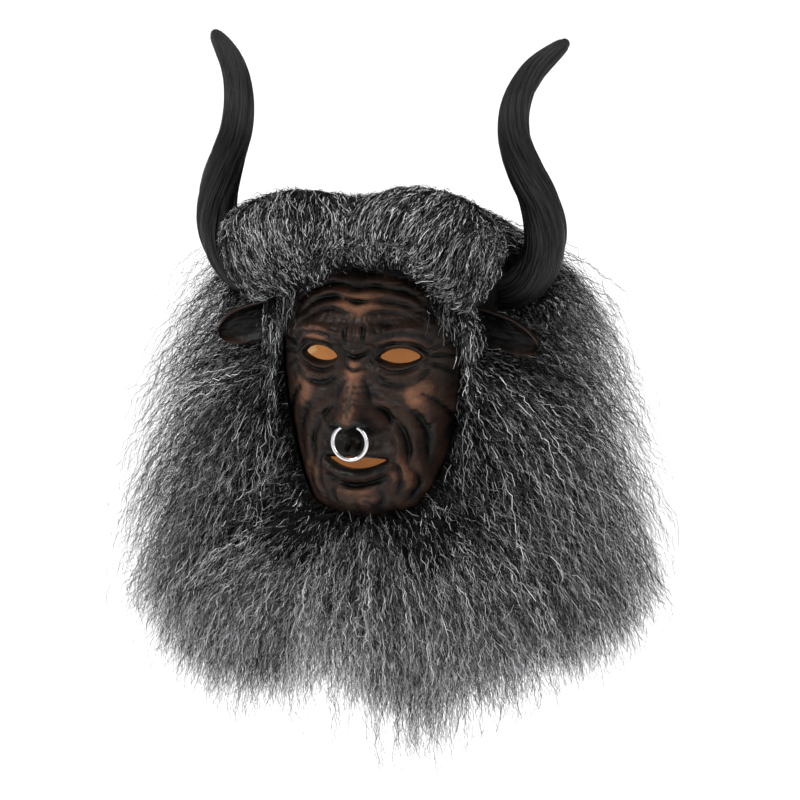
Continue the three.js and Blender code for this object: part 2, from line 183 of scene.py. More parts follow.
def nearest(line, x, z, closed=False):
    """Distance to a polyline, how far along it from 0 to 1, and the nearest point."""
    ends = np.roll(line, -1, 0) if closed else line[1:]
    starts = line if closed else line[:-1]
    best = np.full(x.shape, 1e9)
    along, px, pz = np.zeros(x.shape), np.zeros(x.shape), np.zeros(x.shape)
    for i, (a, b) in enumerate(zip(starts, ends)):
        d = b - a
        t = np.clip(((x - a[0]) * d[0] + (z - a[1]) * d[1]) / max(d @ d, 1e-9), 0, 1)
        qx, qz = a[0] + t * d[0], a[1] + t * d[1]
        far = np.hypot(x - qx, z - qz)
        near = far < best
        best = np.where(near, far, best)
        along = np.where(near, (i + t) / len(starts), along)
        px, pz = np.where(near, qx, px), np.where(near, qz, pz)
    return best, along, px, pz


# Creases on the wearer's left half, mirrored for the right: points as (x, z), depth, width, ridge.
CREASES = [
    # forehead
    ([(-6, -41), (14, -39), (36, -44), (56, -57)], 1.9, 3.0, 1.7),
    ([(-6, -52), (16, -50), (38, -55), (60, -70)], 2.3, 3.2, 2.0),
    ([(8, -61), (22, -59), (40, -64), (56, -76)], 2.0, 2.8, 1.7),
    ([(44, -50), (56, -62), (65, -80)], 1.3, 2.6, 1.0),
    # between the brows and over the bridge
    ([(6, -66), (8, -76), (7, -87)], 1.9, 2.4, 1.4),
    ([(-9, -94), (0, -97), (9, -94)], 1.5, 2.0, 1.0),
    ([(-8, -104), (0, -106), (8, -104)], 0.9, 1.8, 0.6),
    # lids and under the eye
    ([(15, -96), (23, -88.5), (34, -86), (46, -89), (54, -97)], 2.6, 2.0, 1.6),
    ([(20, -82), (34, -77), (50, -81), (60, -90)], 1.5, 2.6, 1.4),
    ([(17, -103), (26, -109), (38, -110), (52, -103)], 2.2, 2.2, 1.8),
    ([(16, -111), (28, -119.5), (43, -119.5), (58, -109)], 2.2, 2.8, 2.0),
    # beside the eye
    ([(54, -95), (62, -91), (73, -89)], 1.5, 1.8, 0.9),
    ([(55, -99), (63, -99), (75, -102)], 1.6, 1.8, 0.9),
    ([(54, -104), (62, -108), (72, -116)], 1.5, 2.0, 0.9),
    # nose
    ([(17, -134), (25, -141), (27.5, -150), (23, -158)], 3.0, 2.6, 2.0),
    ([(9, -114), (13, -124), (15, -134)], 0.9, 2.4, 0.7),
    # cheeks
    ([(23, -138), (33, -151), (40, -168), (40, -188)], 3.0, 3.8, 3.4),
    ([(34, -132), (47, -146), (54, -163), (53, -184)], 2.2, 3.6, 2.6),
    ([(48, -124), (61, -137), (67, -154), (65, -174)], 1.7, 3.2, 1.9),
    ([(36, -140), (43, -142), (50, -138)], 0.8, 2.0, 0.6),
    ([(46, -154), (54, -156), (62, -151)], 0.8, 2.0, 0.6),
    # mouth and chin
    ([(3.6, -163), (4.2, -169), (3.6, -174)], 1.5, 2.2, 1.4),
    ([(27, -178), (32, -184), (34, -193)], 2.0, 2.4, 1.5),
    ([(30, -187), (34, -197), (31, -209)], 2.0, 3.0, 1.8),
    ([(-6, -201), (8, -200.5), (22, -196)], 2.8, 3.0, 2.0),
    ([(17, -204), (20, -212), (15, -221)], 1.2, 2.6, 1.0),
    ([(43, -190), (46, -203), (38, -217)], 1.7, 3.0, 1.6),
]


def crease_relief(x, z):
    """The creases' height, with folds, lumps and pores added."""
    wx = x + 1.5 * noise(x / 24 + 40, z / 24) + 0.25 * noise(x / 6 + 9, z / 6 + 3)
    wz = z + 1.5 * noise(x / 22 + 80, z / 22 + 5) + 0.25 * noise(x / 6 + 60, z / 6 + 31)
    depth_here = 0.95 + 0.5 * noise(x / 13 + 20, z / 13 + 60)
    height = np.zeros(x.shape)
    for points, depth, width, ridge in CREASES:
        for mirror in (1, -1):
            line = np.array(points, float) * [mirror, 1]
            line = spline(line, np.linspace(0, len(line) - 1, 14))
            low, high = line.min(0) - 5 * width, line.max(0) + 5 * width
            near = (wx > low[0]) & (wx < high[0]) & (wz > low[1]) & (wz < high[1])
            if not near.any():
                continue
            far, along, _, _ = nearest(line, wx[near], wz[near])
            taper = np.clip(np.sin(np.pi * np.clip(along, 0.03, 0.97)), 0, 1) ** 0.55
            ends = bump(np.maximum(far - width, 0), 2 * width)
            narrow = 0.55 * width
            cut = -depth * (0.5 * bump(far, width) + 0.5 * bump(far, narrow))
            cut = cut + ridge * bump(far - 2.0 * width, 1.35 * width)
            height[near] += cut * taper * ends * depth_here[near]
    folds = np.abs(noise(x / 8 + 3, z / 4.5 + 70)) + 0.6 * np.abs(noise(x / 4 + 33, z / 2.6 + 20))
    pores = noise(x / 2.6, z / 2.6) * 0.14 + noise(x / 1.4, z / 1.4 + 50) * 0.08
    lumps = 0.9 * noise(x / 12 + 11, z / 10 + 7)
    height += (0.9 * np.clip(folds, 0, 1) + lumps) * smooth(0, 6, np.abs(x)) + pores
    return np.maximum(height, -CREASE_LIMIT)


def rim_relief(x, z):
    """Raised lids and lips round the holes, rolling over at the very edge. Also the nostrils."""
    height = np.zeros(x.shape)
    for k, outline in enumerate(LEAVES):
        low, high = outline.min(0) - 14, outline.max(0) + 14
        near = (x > low[0]) & (x < high[0]) & (z > low[1]) & (z < high[1])
        far, _, _, _ = nearest(outline, x[near], z[near], closed=True)
        far = np.where(inside(outline, x[near], z[near]), 0, far)
        if k < 2:
            height[near] += 3.6 * bump(far - 3.0, 2.6) - 1.2 * bump(far, 1.1)
        else:
            lower = smooth(MOUTH["z"] + 2, MOUTH["z"] - 4, z[near])
            height[near] += (2.6 + 1.8 * lower) * bump(far - 4.2 - 1.2 * lower, 3.4 + lower)
            height[near] -= 1.4 * bump(far, 1.3)
    for s in (-1, 1):
        hole = bump(np.hypot((x - s * NOSTRIL_X) / 1.15, (z - NOSTRIL_Z) * 1.1), 4.2)
        height -= 15 * hole
    return height


def face_relief(x, z):
    detail = crease_relief(x, z)
    rim = rim_relief(x, z)
    near_rim = np.zeros(x.shape)
    for outline in LEAVES:
        far, _, _, _ = nearest(outline[::3], x, z, closed=True)
        near_rim = np.maximum(near_rim, bump(far, 2.2))
    detail = detail * (1 - 0.8 * near_rim)
    fade = smooth(-238, -222, z) * smooth(-18, -34, z)
    return base_relief(x, z) + (detail + rim) * fade, detail + np.minimum(rim, 0) * 0.6


# ---------- meshes ----------
def add_object(name, data):
    obj = bpy.data.objects.new(name, data)
    bpy.context.scene.collection.objects.link(obj)
    return obj


def mesh_object(name, points, faces, materials, tone=None, **floats):
    """One object from millimetre points and quads. Tone is each quad's material number."""
    mesh = bpy.data.meshes.new(name)
    points = np.asarray(points).reshape(-1, 3)
    faces = np.asarray(faces, np.int32).reshape(-1, 4)
    mesh.vertices.add(len(points))
    mesh.vertices.foreach_set("co", (points * MM).astype(np.float32).ravel())
    mesh.loops.add(faces.size)
    mesh.loops.foreach_set("vertex_index", faces.ravel())
    mesh.polygons.add(len(faces))
    mesh.polygons.foreach_set("loop_start", np.arange(0, faces.size, 4, dtype=np.int32))
    if tone is not None:
        mesh.polygons.foreach_set("material_index", np.asarray(tone, np.int32))
    mesh.polygons.foreach_set("use_smooth", np.ones(len(faces), bool))
    mesh.update(calc_edges=True)
    for key, values in floats.items():
        values = np.asarray(values, np.float32)
        kind = "FLOAT_VECTOR" if values.ndim == 2 else "FLOAT"
        layer = mesh.attributes.new(key, kind, "POINT")
        layer.data.foreach_set("vector" if values.ndim == 2 else "value", values.ravel())
    for m in materials:
        mesh.materials.append(m)
    return add_object(name, mesh)


def grid_faces(rows, columns, wrap=False):
    """Quads of a grid of points, facing out when rows run down and columns run towards +X."""
    index = np.arange(rows * columns).reshape(rows, columns)
    right = np.roll(index, -1, 1) if wrap else index[:, 1:]
    left = index if wrap else index[:, :-1]
    return joined(left[:-1], left[1:], right[1:], right[:-1])


def piece(obj, body, slot, *nodes):
    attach(obj, body)
    if nodes:
        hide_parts(*nodes)
    return obj


def both(name):
    return [name + "_left", name + "_right"]


# ---------- materials ----------
class Shader:
    """A Principled material built from a few linked nodes."""

    def __init__(self, name, colour=(0.5, 0.5, 0.5), rough=0.5, **sockets):
        self.material = bpy.data.materials.new(name)
        self.material.use_nodes = True
        self.tree = self.material.node_tree
        self.bsdf = self.tree.nodes["Principled BSDF"]
        self.bsdf.inputs["Base Color"].default_value = (*colour, 1)
        self.bsdf.inputs["Roughness"].default_value = rough
        for key, value in sockets.items():
            self.bsdf.inputs[key.replace("_", " ")].default_value = value

    def node(self, kind, values=None, **props):
        made = self.tree.nodes.new("ShaderNode" + kind)
        for key, value in props.items():
            setattr(made, key, value)
        for key, value in (values or {}).items():
            if isinstance(value, bpy.types.NodeSocket):
                self.tree.links.new(value, made.inputs[key])
            else:
                made.inputs[key].default_value = value
        return made

    def place(self, scale=(1, 1, 1), attribute=None):
        source = (self.node("Attribute", attribute_name=attribute).outputs["Vector"] if attribute
                  else self.node("TexCoord").outputs["Object"])
        return self.node("Mapping", {"Vector": source, "Scale": scale}).outputs[0]

    def noise(self, scale, detail=3, rough=0.55, at=None, distortion=0.0):
        values = {"Scale": scale, "Detail": detail, "Roughness": rough, "Distortion": distortion,
                  "Vector": at if at is not None else self.place()}
        return self.node("TexNoise", values).outputs["Fac"]

    def attribute(self, name):
        return self.node("Attribute", attribute_name=name).outputs["Fac"]

    def math(self, operation, a, b):
        return self.node("Math", {0: a, 1: b}, operation=operation).outputs[0]

    def spread(self, value, low, high, to_low=0.0, to_high=1.0):
        values = {"Value": value, "From Min": low, "From Max": high, "To Min": to_low, "To Max": to_high}
        return self.node("MapRange", values).outputs["Result"]

    def ramp(self, value, *stops):
        made = self.node("ValToRGB", {"Fac": value})
        elements = made.color_ramp.elements
        while len(elements) < len(stops):
            elements.new(0.5)
        for element, (at, colour) in zip(elements, stops):
            element.position, element.color = at, (*colour, 1)
        return made.outputs["Color"]

    def link(self, socket, value):
        self.tree.links.new(value, self.bsdf.inputs[socket])

    def bumps(self, *layers):
        """Each layer is (height, strength, depth in millimetres)."""
        normal = None
        for height, strength, depth in layers:
            values = {"Height": height, "Strength": strength, "Distance": depth * MM}
            if normal is not None:
                values["Normal"] = normal
            normal = self.node("Bump", values).outputs["Normal"]
        self.link("Normal", normal)


def painted_latex():
    s = Shader("painted_latex", rough=0.4, Specular_IOR_Level=0.11)
    blotch = s.noise(38, 5, 0.6)
    # painted highlight on the raised parts
    worn = s.math("MULTIPLY", s.attribute("worn"), 0.52)
    value = s.math("ADD", s.math("MULTIPLY", blotch, 0.62), worn)
    # painted shade in creases, hollows, the nostrils, the ear cups and the hole walls
    value = s.math("SUBTRACT", value, s.math("MULTIPLY", s.attribute("crease"), 0.85))
    value = s.math("ADD", value, s.math("MULTIPLY", s.noise(420, 3, 0.6), 0.16))
    s.link("Base Color", s.ramp(value, (0.10, (0.0012, 0.0011, 0.001)), (0.40, (0.004, 0.0029, 0.0024)),
                                (0.68, (0.019, 0.0098, 0.0064)), (1.0, (0.13, 0.057, 0.031))))
    s.link("Roughness", s.spread(s.noise(120, 4), 0.3, 0.7, 0.3, 0.5))
    leather = s.node("TexVoronoi", {"Scale": 520.0, "Vector": s.place()},
                     feature="DISTANCE_TO_EDGE").outputs["Distance"]
    s.bumps((s.noise(260, 5, 0.65), 0.5, 0.7), (leather, 0.3, 0.25))
    return s.material


def raw_latex():
    s = Shader("raw_latex", rough=0.62)
    s.link("Base Color", s.ramp(s.noise(26, 4), (0.3, (0.40, 0.195, 0.070)), (0.7, (0.48, 0.250, 0.095))))
    s.bumps((s.noise(300, 4), 0.3, 0.4))
    return s.material


def horn_latex():
    s = Shader("horn_latex", rough=0.42, Specular_IOR_Level=0.17)
    streak = s.noise(0.85, 4, 0.6, s.place((1, 1, 0.05), "fibre"))
    fine = s.noise(2.2, 3, 0.65, s.place((1, 1, 0.03), "fibre"))
    value = s.math("ADD", s.math("MULTIPLY", streak, 0.55), s.math("MULTIPLY", fine, 0.45))
    # painted shade in the grooves
    value = s.math("SUBTRACT", value, s.math("MULTIPLY", s.attribute("crease"), 0.35))
    s.link("Base Color", s.ramp(value, (0.3, (0.0015, 0.0015, 0.0017)), (0.52, (0.006, 0.006, 0.0063)),
                                (0.75, (0.026, 0.026, 0.027))))
    s.link("Roughness", s.spread(fine, 0.3, 0.7, 0.3, 0.5))
    s.bumps((streak, 0.9, 1.6), (fine, 0.8, 0.9))
    return s.material


def flange_latex():
    s = Shader("flange_latex", rough=0.45, Specular_IOR_Level=0.28)
    s.link("Base Color", s.ramp(s.noise(60, 4), (0.35, (0.002, 0.002, 0.0022)),
                                (0.7, (0.016, 0.016, 0.0165))))
    s.bumps((s.noise(220, 4), 0.4, 0.4))
    return s.material


def foam():
    s = Shader("foam", rough=0.95, Sheen_Weight=0.2)
    cells = s.node("TexVoronoi", {"Scale": 900.0, "Vector": s.place()}).outputs["Distance"]
    s.link("Base Color", s.ramp(cells, (0.1, (0.58, 0.38, 0.17)), (0.8, (0.36, 0.22, 0.09))))
    s.bumps((cells, 0.6, 0.8))
    return s.material


def knit():
    s = Shader("backing_knit", rough=0.95, Specular_IOR_Level=0.1)
    across = s.node("TexWave", {"Scale": 220.0, "Distortion": 1.5, "Vector": s.place()},
                    bands_direction="Z").outputs["Fac"]
    loops = s.node("TexWave", {"Scale": 260.0, "Distortion": 2.0, "Vector": s.place()},
                   bands_direction="DIAGONAL").outputs["Fac"]
    weave = s.math("MULTIPLY", across, loops)
    s.link("Base Color", s.ramp(weave, (0.0, (0.004, 0.004, 0.0045)), (1.0, (0.02, 0.02, 0.022))))
    s.bumps((weave, 0.6, 0.5))
    return s.material


def silver():
    s = Shader("ring_metal", (0.5, 0.5, 0.51), 0.16, Metallic=1.0)
    s.link("Roughness", s.spread(s.noise(400, 4, at=s.place((1, 1, 4))), 0.3, 0.75, 0.1, 0.28))
    s.bumps((s.noise(900, 3), 0.08, 0.1))
    return s.material


def underfur():
    s = Shader("underfur", rough=0.9, Specular_IOR_Level=0.05)
    tufts = s.noise(150, 6, 0.75, s.place((1, 1, 0.22)), 1.5)
    s.link("Base Color", s.ramp(tufts, (0.35, (0.0015, 0.0015, 0.0016)), (0.58, (0.006, 0.006, 0.0062)),
                                (0.8, (0.03, 0.03, 0.031))))
    s.bumps((tufts, 0.9, 5.0))
    return s.material


def fibre(name, grey, gloss):
    return Shader(name, (grey, grey, grey * 1.02), 0.45, Specular_IOR_Level=gloss).material


LATEX, RAW, HORN, FLANGE, FOAM, KNIT, SILVER, UNDER = (
    painted_latex(), raw_latex(), horn_latex(), flange_latex(), foam(), knit(), silver(), underfur())
# Darkest first: each tone number is a place in this list.
FIBRES = [fibre("fibre_black", 0.003, 0.02), fibre("fibre_dark", 0.026, 0.06),
          fibre("fibre_mid", 0.13, 0.2), fibre("fibre_light", 0.32, 0.3), fibre("fibre_bright", 0.56, 0.3)]


# ---------- face, lining and what is fixed to them ----------
def spaced(*stretches):
    """Joined linspaces: (from, to, count), the last end included."""
    parts = [np.linspace(a, b, n, endpoint=False) for a, b, n in stretches]
    return np.append(np.concatenate(parts), stretches[-1][1])


def holes_in(x, z, grow=0.0):
    within = np.zeros(x.shape, bool)
    for outline in LEAVES:
        middle = outline.mean(0)
        within |= inside(middle + (outline - middle) * (1 + grow / 12), x, z)
    return within


def make_face():
    rows = spaced((0.5, 2.6, 12), (2.6, 10.0, 270), (10.0, 12.0, 16))
    angles = np.radians(spaced((-90, -56, 40), (-56, 56, 236), (56, 90, 40)))
    row, angle = grid(rows, angles)
    points = bare_head(row, angle)
    x, z = points[..., 0].copy(), points[..., 2].copy()
    hole = holes_in(x, z)
    quads = grid_faces(*x.shape)
    in_hole = hole.ravel()[quads].all(-1)
    kept = ~in_hole
    # Corners of kept faces that fall in a hole slide out to its edge.
    used = np.zeros(x.size, bool)
    used[quads[kept].ravel()] = True
    edge = (used & hole.ravel()).reshape(x.shape)
    for outline in LEAVES:
        mine = edge & inside(outline, x, z)
        _, _, px, pz = nearest(outline, x[mine], z[mine], closed=True)
        x[mine], z[mine] = px, pz
    relief, detail = face_relief(x, z)
    fade = smooth(0, 0.35, np.cos(angle))
    points[..., 0], points[..., 2] = x, z
    points[..., 1] -= relief * fade
    # painted shade: darker where creases, folds and dents cut into the relief
    crease = np.clip((0.35 - detail) / CREASE_LIMIT, 0, 1)
    side = np.abs(x)
    # painted highlight: lighter brown on the nose bridge, forehead, cheekbones, brow and chin, and wherever
    # the relief stands up
    worn = (0.9 * bump(x, 9) * smooth(-92, -104, z) * smooth(-152, -146, z)
            + 0.65 * bump(x, 30) * bump(z + 56, 16) + 0.7 * bump(side - 48, 15) * bump(z + 128, 15)
            + 0.6 * bump(side - 34, 18) * bump(z + 80, 8) + 0.55 * bump(x, 20) * bump(z + 212, 11)
            + 0.35 * bump(side - 40, 14) * bump(z + 196, 16) + 0.36 * np.clip(detail / 2.6, 0, 1))
    # painted shade in and round the nostrils
    crease = np.maximum(crease, bump(np.hypot(side - NOSTRIL_X, z - NOSTRIL_Z), 5.5))
    flat = points.reshape(-1, 3)
    faces = quads[kept]
    # The thickness of the wall at each hole: two rings of quads running back from its edge.
    rim_pairs = []
    for dr, dc, a, b in ((-1, 0, 3, 0), (1, 0, 1, 2), (0, -1, 0, 1), (0, 1, 2, 3)):
        neighbour = np.roll(in_hole, (-dr, -dc), (0, 1))
        r, c = np.nonzero(kept & neighbour)
        rim_pairs.append(quads[r, c][:, [a, b]])
    pairs = np.concatenate(rim_pairs)
    rim, back = np.unique(pairs, return_inverse=True)
    back = back.reshape(pairs.shape)
    count = len(flat)
    flat = np.concatenate([flat, flat[rim] + [0, HOLE_EDGE, 0], flat[rim] + [0, HOLE_WALL, 0]])
    first, second = back + count, back + count + len(rim)
    wall = [joined(pairs[:, 0], first[:, 0], first[:, 1], pairs[:, 1]),
            joined(first[:, 0], second[:, 0], second[:, 1], first[:, 1])]
    faces = np.concatenate([faces, *wall])
    # the hole walls get a fixed share of painted shade and no painted highlight
    more = np.zeros(2 * len(rim))
    made = mesh_object("face", flat, faces, [LATEX],
                       crease=np.concatenate([crease.ravel(), more + 0.25]),
                       worn=np.concatenate([np.clip(worn, 0, 1.2).ravel(), more]))
    piece(made, "mask", "painted_latex", "face_shell")


def make_lining():
    rows = spaced((0.05, 12.0, 150))
    angles = np.radians(spaced((-180, -70, 50), (-70, 70, 150), (70, 180, 50)))
    row, angle = grid(rows, angles)
    bare = bare_head(row, angle)
    inner = bare - head_normal(row, angle) * LATEX_WALL
    inner[..., 1] -= 0.4 * smooth(0, 0.35, np.cos(angle)) * base_relief(bare[..., 0], bare[..., 2]) - 1.2
    quads = grid_faces(*row.shape)
    hole = (holes_in(inner[..., 0], inner[..., 2], 1.5) & (np.cos(angle) > 0.2)).ravel()
    faces = quads[~hole[quads].any(-1)][:, ::-1]
    made = mesh_object("head_lining", inner, faces, [RAW])
    piece(made, "mask", "raw_latex", "rear_shell")
    behind = np.radians(np.linspace(90, 270, 91))
    row, angle = grid(spaced((0.05, 12.0, 90)), behind)
    outer = bare_head(row, angle)
    made = mesh_object("head_rear", outer, grid_faces(*row.shape), [RAW])
    piece(made, "mask", "raw_latex", "rear_shell")


# The opening that the knit and fur leave round the face: its left half from the chin up, as (x, z).
WINDOW_LINE = np.array([[0, -238], [36, -229], [58, -203], [70, -165], [76, -120], [77, -76],
                        [60, -44], [0, -26]], float)
WINDOW_STEPS = 60
WINDOW = spline(WINDOW_LINE, np.linspace(0, len(WINDOW_LINE) - 1, WINDOW_STEPS))
WINDOW = np.concatenate([WINDOW, WINDOW[::-1][1:-1] * [-1, 1]])


def make_backing():
    """The knitted sheet that all the fur is sewn to, open round the face."""
    row, angle = grid(spaced((0.1, 11.9, 170)), np.radians(np.linspace(-180, 180, 241)))
    bare = bare_head(row, angle)
    points = bare + head_normal(row, angle) * KNIT_LIFT
    points[..., 1] -= smooth(0, 0.35, np.cos(angle)) * base_relief(bare[..., 0], bare[..., 2])
    quads = grid_faces(*row.shape)
    gone = (inside(WINDOW, points[..., 0], points[..., 2]) & (np.cos(angle) > 0)).ravel()
    made = mesh_object("fur_backing", points, quads[~gone[quads].any(-1)], [KNIT])
    thick = made.modifiers.new("thickness", "SOLIDIFY")
    thick.thickness, thick.offset = KNIT_THICKNESS * MM, 0
    piece(made, "mask", "backing_knit", "crown_backing", *both("mane_backing"), *both("rear_backing"),
          *both("beard_backing"))


def make_binding():
    """The folded tape round the neck hem."""
    angle = np.radians(np.linspace(0, 360, 180, endpoint=False))
    row = np.full(angle.shape, float(LAST_ROW))
    hem, out = bare_head(row, angle), head_normal(row, angle)
    round_ = np.linspace(0, 2 * np.pi, 24, endpoint=False)
    rings = []
    for t in round_:
        flat = hem + out * (-1.2 + 3.1 * np.sign(np.cos(t)) * abs(np.cos(t)) ** 0.6)
        rings.append(flat + [0, 0, 1] * np.array(-3.6 + 2.9 * np.sign(np.sin(t)) * abs(np.sin(t)) ** 0.6))
    points = np.stack(rings, 0)
    points = np.concatenate([points, points[:1]])
    points[..., 2] += 0.25 * np.sin(angle * 110)
    faces = grid_faces(len(points), len(angle), wrap=True)[..., ::-1]
    made = mesh_object("neck_tape", points, faces, [KNIT])
    piece(made, "mask", "backing_knit", "neck_binding")


def make_pad(node):
    """A soft foam copy of a CAD pad with rounded edges."""
    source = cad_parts[node].data
    mesh = bpy.data.meshes.new(node + "_source")
    mesh.from_pydata([v.co for v in source.vertices], [], [list(f.vertices) for f in source.polygons])
    rough = add_object(node + "_source", mesh)
    cells = rough.modifiers.new("cells", "REMESH")
    cells.mode, cells.voxel_size, cells.use_smooth_shade = "VOXEL", 1.6 * MM, True
    soften = rough.modifiers.new("soften", "SMOOTH")
    soften.factor, soften.iterations = 0.5, 6
    graph = bpy.context.evaluated_depsgraph_get()
    made = add_object(node + "_foam", bpy.data.meshes.new_from_object(rough.evaluated_get(graph)))
    bpy.data.objects.remove(rough)
    made.data.materials.clear()
    made.data.materials.append(FOAM)
    piece(made, "mask", "foam", node)


# ---------- horns, ears and ring ----------
HORN_LINE = np.array([[58, 4, -34], [88, -3, -45], [113, -10, -45], [131, -17, -29], [139, -24, -2],
                      [136, -32, 25], [126, -40, 52], [117, -42, 79], [117, -36, 105], [127, -20, 130],
                      [148, 2, 151]], float)


def along(line, count):
    """A curve through the points, sampled evenly by length."""
    dense = spline(line, np.linspace(0, len(line) - 1, 600))
    reach = np.append(0, np.cumsum(np.linalg.norm(np.diff(dense, axis=0), axis=1)))
    at = np.linspace(0, reach[-1], count)
    return np.stack([np.interp(at, reach, dense[:, k]) for k in range(3)], -1), reach[-1]


def horn_radius(at):
    return 4.5 + 16.5 * (1 - at) ** 0.52


def make_horn(side, name):
    steps, sides = 270, 250
    centre, length = along(HORN_LINE * [side, 1, 1], steps)
    ahead = unit(np.gradient(centre, axis=0))
    normal = np.zeros_like(centre)
    normal[0] = unit(np.cross(ahead[0], [0, 1.0, 0]))
    for i in range(1, steps):
        normal[i] = unit(normal[i - 1] - ahead[i] * (normal[i - 1] @ ahead[i]))
    across = np.cross(ahead, normal)
    at = np.linspace(0, 1, steps)
    turn = np.linspace(0, 2 * np.pi, sides, endpoint=False)
    s, t = grid(at * length, turn)
    twist = s / 130 * side + 0.12 * np.sin(s / 34)
    u = (t + twist) / (2 * np.pi)
    shift = 100 if side > 0 else 0
    wide = noise(u * 26 + shift, s / 70, 26)
    thin = noise(u * 64, s / 55 + shift, 64)
    hair = noise(u * 110, s / 30 + 9 + shift, 110)
    groove = np.clip(1 - np.abs(wide) * 3.4, 0, 1) * 0.9 + np.clip(1 - np.abs(thin) * 2.2, 0, 1) * 0.7
    lumps = 0.5 * noise(u * 5 + shift, s / 30, 5)
    relief = (lumps + 0.5 * wide + 0.3 * thin - groove * 1.15 + 0.22 * hair) * smooth(1.0, 0.9, s / length)
    relief = relief * (0.35 + 0.65 * smooth(0.98, 0.5, s / length))
    radius = horn_radius(at)[:, None] + relief
    points = (centre[:, None] + normal[:, None] * (radius * np.cos(t))[..., None]
              + across[:, None] * (radius * np.sin(t))[..., None])
    cap = []
    for bend in np.radians([25, 48, 68, 84, 89.5]):
        shrink, lead = np.cos(bend), np.sin(bend) * 4.4
        cap.append(centre[-1] + (points[-1] - centre[-1]) * shrink + ahead[-1] * lead)
    points = np.concatenate([points, np.stack(cap)])
    rows = len(points)
    fibre_at = joined(np.cos(t + twist) * 9, np.sin(t + twist) * 9, s)
    fibre_at = np.concatenate([fibre_at, np.repeat(fibre_at[-1:], rows - steps, 0)])
    # painted shade along the grooves
    crease = np.concatenate([np.clip(groove, 0, 1), np.zeros((rows - steps, sides))])
    made = mesh_object("horn_" + name, points, grid_faces(rows, sides, wrap=True), [HORN],
                       crease=crease.ravel(), fibre=fibre_at.reshape(-1, 3))
    piece(made, "mask", "horn_latex", "horn_shell_" + name)


EAR_ACROSS, EAR_BACK = unit(np.array([0.08, -0.42, 0.9])), unit(np.array([0.05, 0.9, 0.42]))


def make_ear(side, name):
    root, tip, across, back = EAR_ROOT, EAR_TIP, EAR_ACROSS, EAR_BACK
    steps, half_count = 90, 61
    at = np.linspace(0, 1, steps)[:, None]
    v = np.linspace(-1, 1, half_count)[None]
    width = 18 * (0.5 + 0.5 * np.sin(np.pi * (0.17 + 0.62 * at)))
    width = width * np.sqrt(np.maximum(0, 1 - np.maximum(0, (at - 0.6) / 0.401) ** 2.4))
    cup = 12 * (1 - np.abs(v) ** 2.4) * (1 - 0.35 * at)
    middle = (root + (tip - root) * at[..., None] + across * (v * width)[..., None]
              + back * (cup + 0 * v)[..., None])
    middle[..., 2] -= 3 * at**2
    fold = noise(at * 5 + 3 + 20 * (side > 0), v * 3 + 8) * 0.8 + noise(at * 14, v * 9 + 4) * 0.3
    veins = np.clip(1 - np.abs(np.sin(v * 7 + 1.2 * np.sin(at * 5))) * 2.5, 0, 1)
    veins = veins * smooth(0.95, 0.5, at) * 0.7
    roll = 1.9 * bump(np.abs(v) - 0.9, 0.1) * smooth(0.02, 0.2, at)
    thick = (1.5 + roll) * np.sqrt(np.maximum(0, 1 - np.abs(v) ** 10)) + 0.05
    outer = middle + back * (thick + fold)[..., None]
    inner = middle - back * (thick - fold - veins * (1 - v * v))[..., None]
    ring = np.concatenate([outer, inner[:, ::-1]], 1) * [side, 1, 1]
    # painted shade deep in the ear's cup, more towards its root; the back of the ear gets a flat share
    deep = (1 - np.abs(v) ** 3) * (0.25 + 0.75 * smooth(0.85, 0.2, at))
    cup_shade = np.concatenate([np.full_like(deep, 0.25), 0.15 + 0.75 * deep], 1)
    # painted highlight on the rolled rims and towards the tip; the back of the ear gets a flat share
    rim_highlight = 0.25 + 0.4 * np.clip(np.abs(v) * 3 - 1.8, 0, 1) + 0.3 * at**2
    worn = np.concatenate([np.full_like(deep, 0.35), rim_highlight], 1)
    faces = grid_faces(steps, 2 * half_count, wrap=True)
    made = mesh_object("ear_shape_" + name, ring, faces if side < 0 else faces[..., ::-1],
                       [LATEX], crease=cup_shade.ravel(), worn=worn.ravel())
    piece(made, "mask", "painted_latex", "ear_" + name)


def make_ring():
    sides, steps = 28, 160
    turn, around = grid(np.linspace(0, 2 * np.pi, steps, endpoint=False),
                        np.linspace(0, 2 * np.pi, sides, endpoint=False))
    reach = RING_RADIUS + RING_WIRE * np.cos(around)
    points = joined(reach * np.sin(turn), RING_WIRE * np.sin(around), reach * np.cos(turn))
    points = points + RING_PIVOT - [0, 0, RING_RADIUS]
    index = np.arange(steps * sides).reshape(steps, sides)
    over, beside = np.roll(index, -1, 0), np.roll(index, -1, 1)
    faces = joined(index, beside, np.roll(beside, -1, 0), over)
    made = mesh_object("septum_ring", points, faces, [SILVER])
    piece(made, "ring", "ring_metal", "nose_ring")


# ---------- fur ----------
def fur_ring(z, angle):
    """A point of the dressed fur's outline."""
    w, f, b = (np.interp(z, FUR[::-1, 0], FUR[::-1, k]) for k in (1, 2, 3))
    depth = np.where(np.cos(angle) > 0, f, b)
    return joined(w * np.sin(angle), -depth * np.cos(angle), z)


def head_sizes(z):
    """Half width and the depths in front and behind of the backing, or of the hollow below it."""
    w, f, b = (np.abs(np.interp(z, line[::-1, 1], line[::-1, 0])) + 4 for line in (SIDE, FRONT, BACK))
    below = smooth(-268, -350, z)
    return w + 38 * below, f + 8 * below, b + 14 * below


def head_ring(z, angle):
    w, f, b = head_sizes(z)
    depth = np.where(np.cos(angle) > 0, f, b)
    return joined(w * np.sin(angle), -depth * np.cos(angle), z)


def window_half(z):
    """The face opening's half width at a height."""
    right = WINDOW[:WINDOW_STEPS]
    return np.interp(z, right[:, 1], right[:, 0], left=0, right=0)


def window_point(at):
    """Points on the left half of the opening's edge, counted in its steps from the chin."""
    return joined(*(np.interp(at, np.arange(WINDOW_STEPS), WINDOW[:WINDOW_STEPS, k]) for k in (0, 1)))


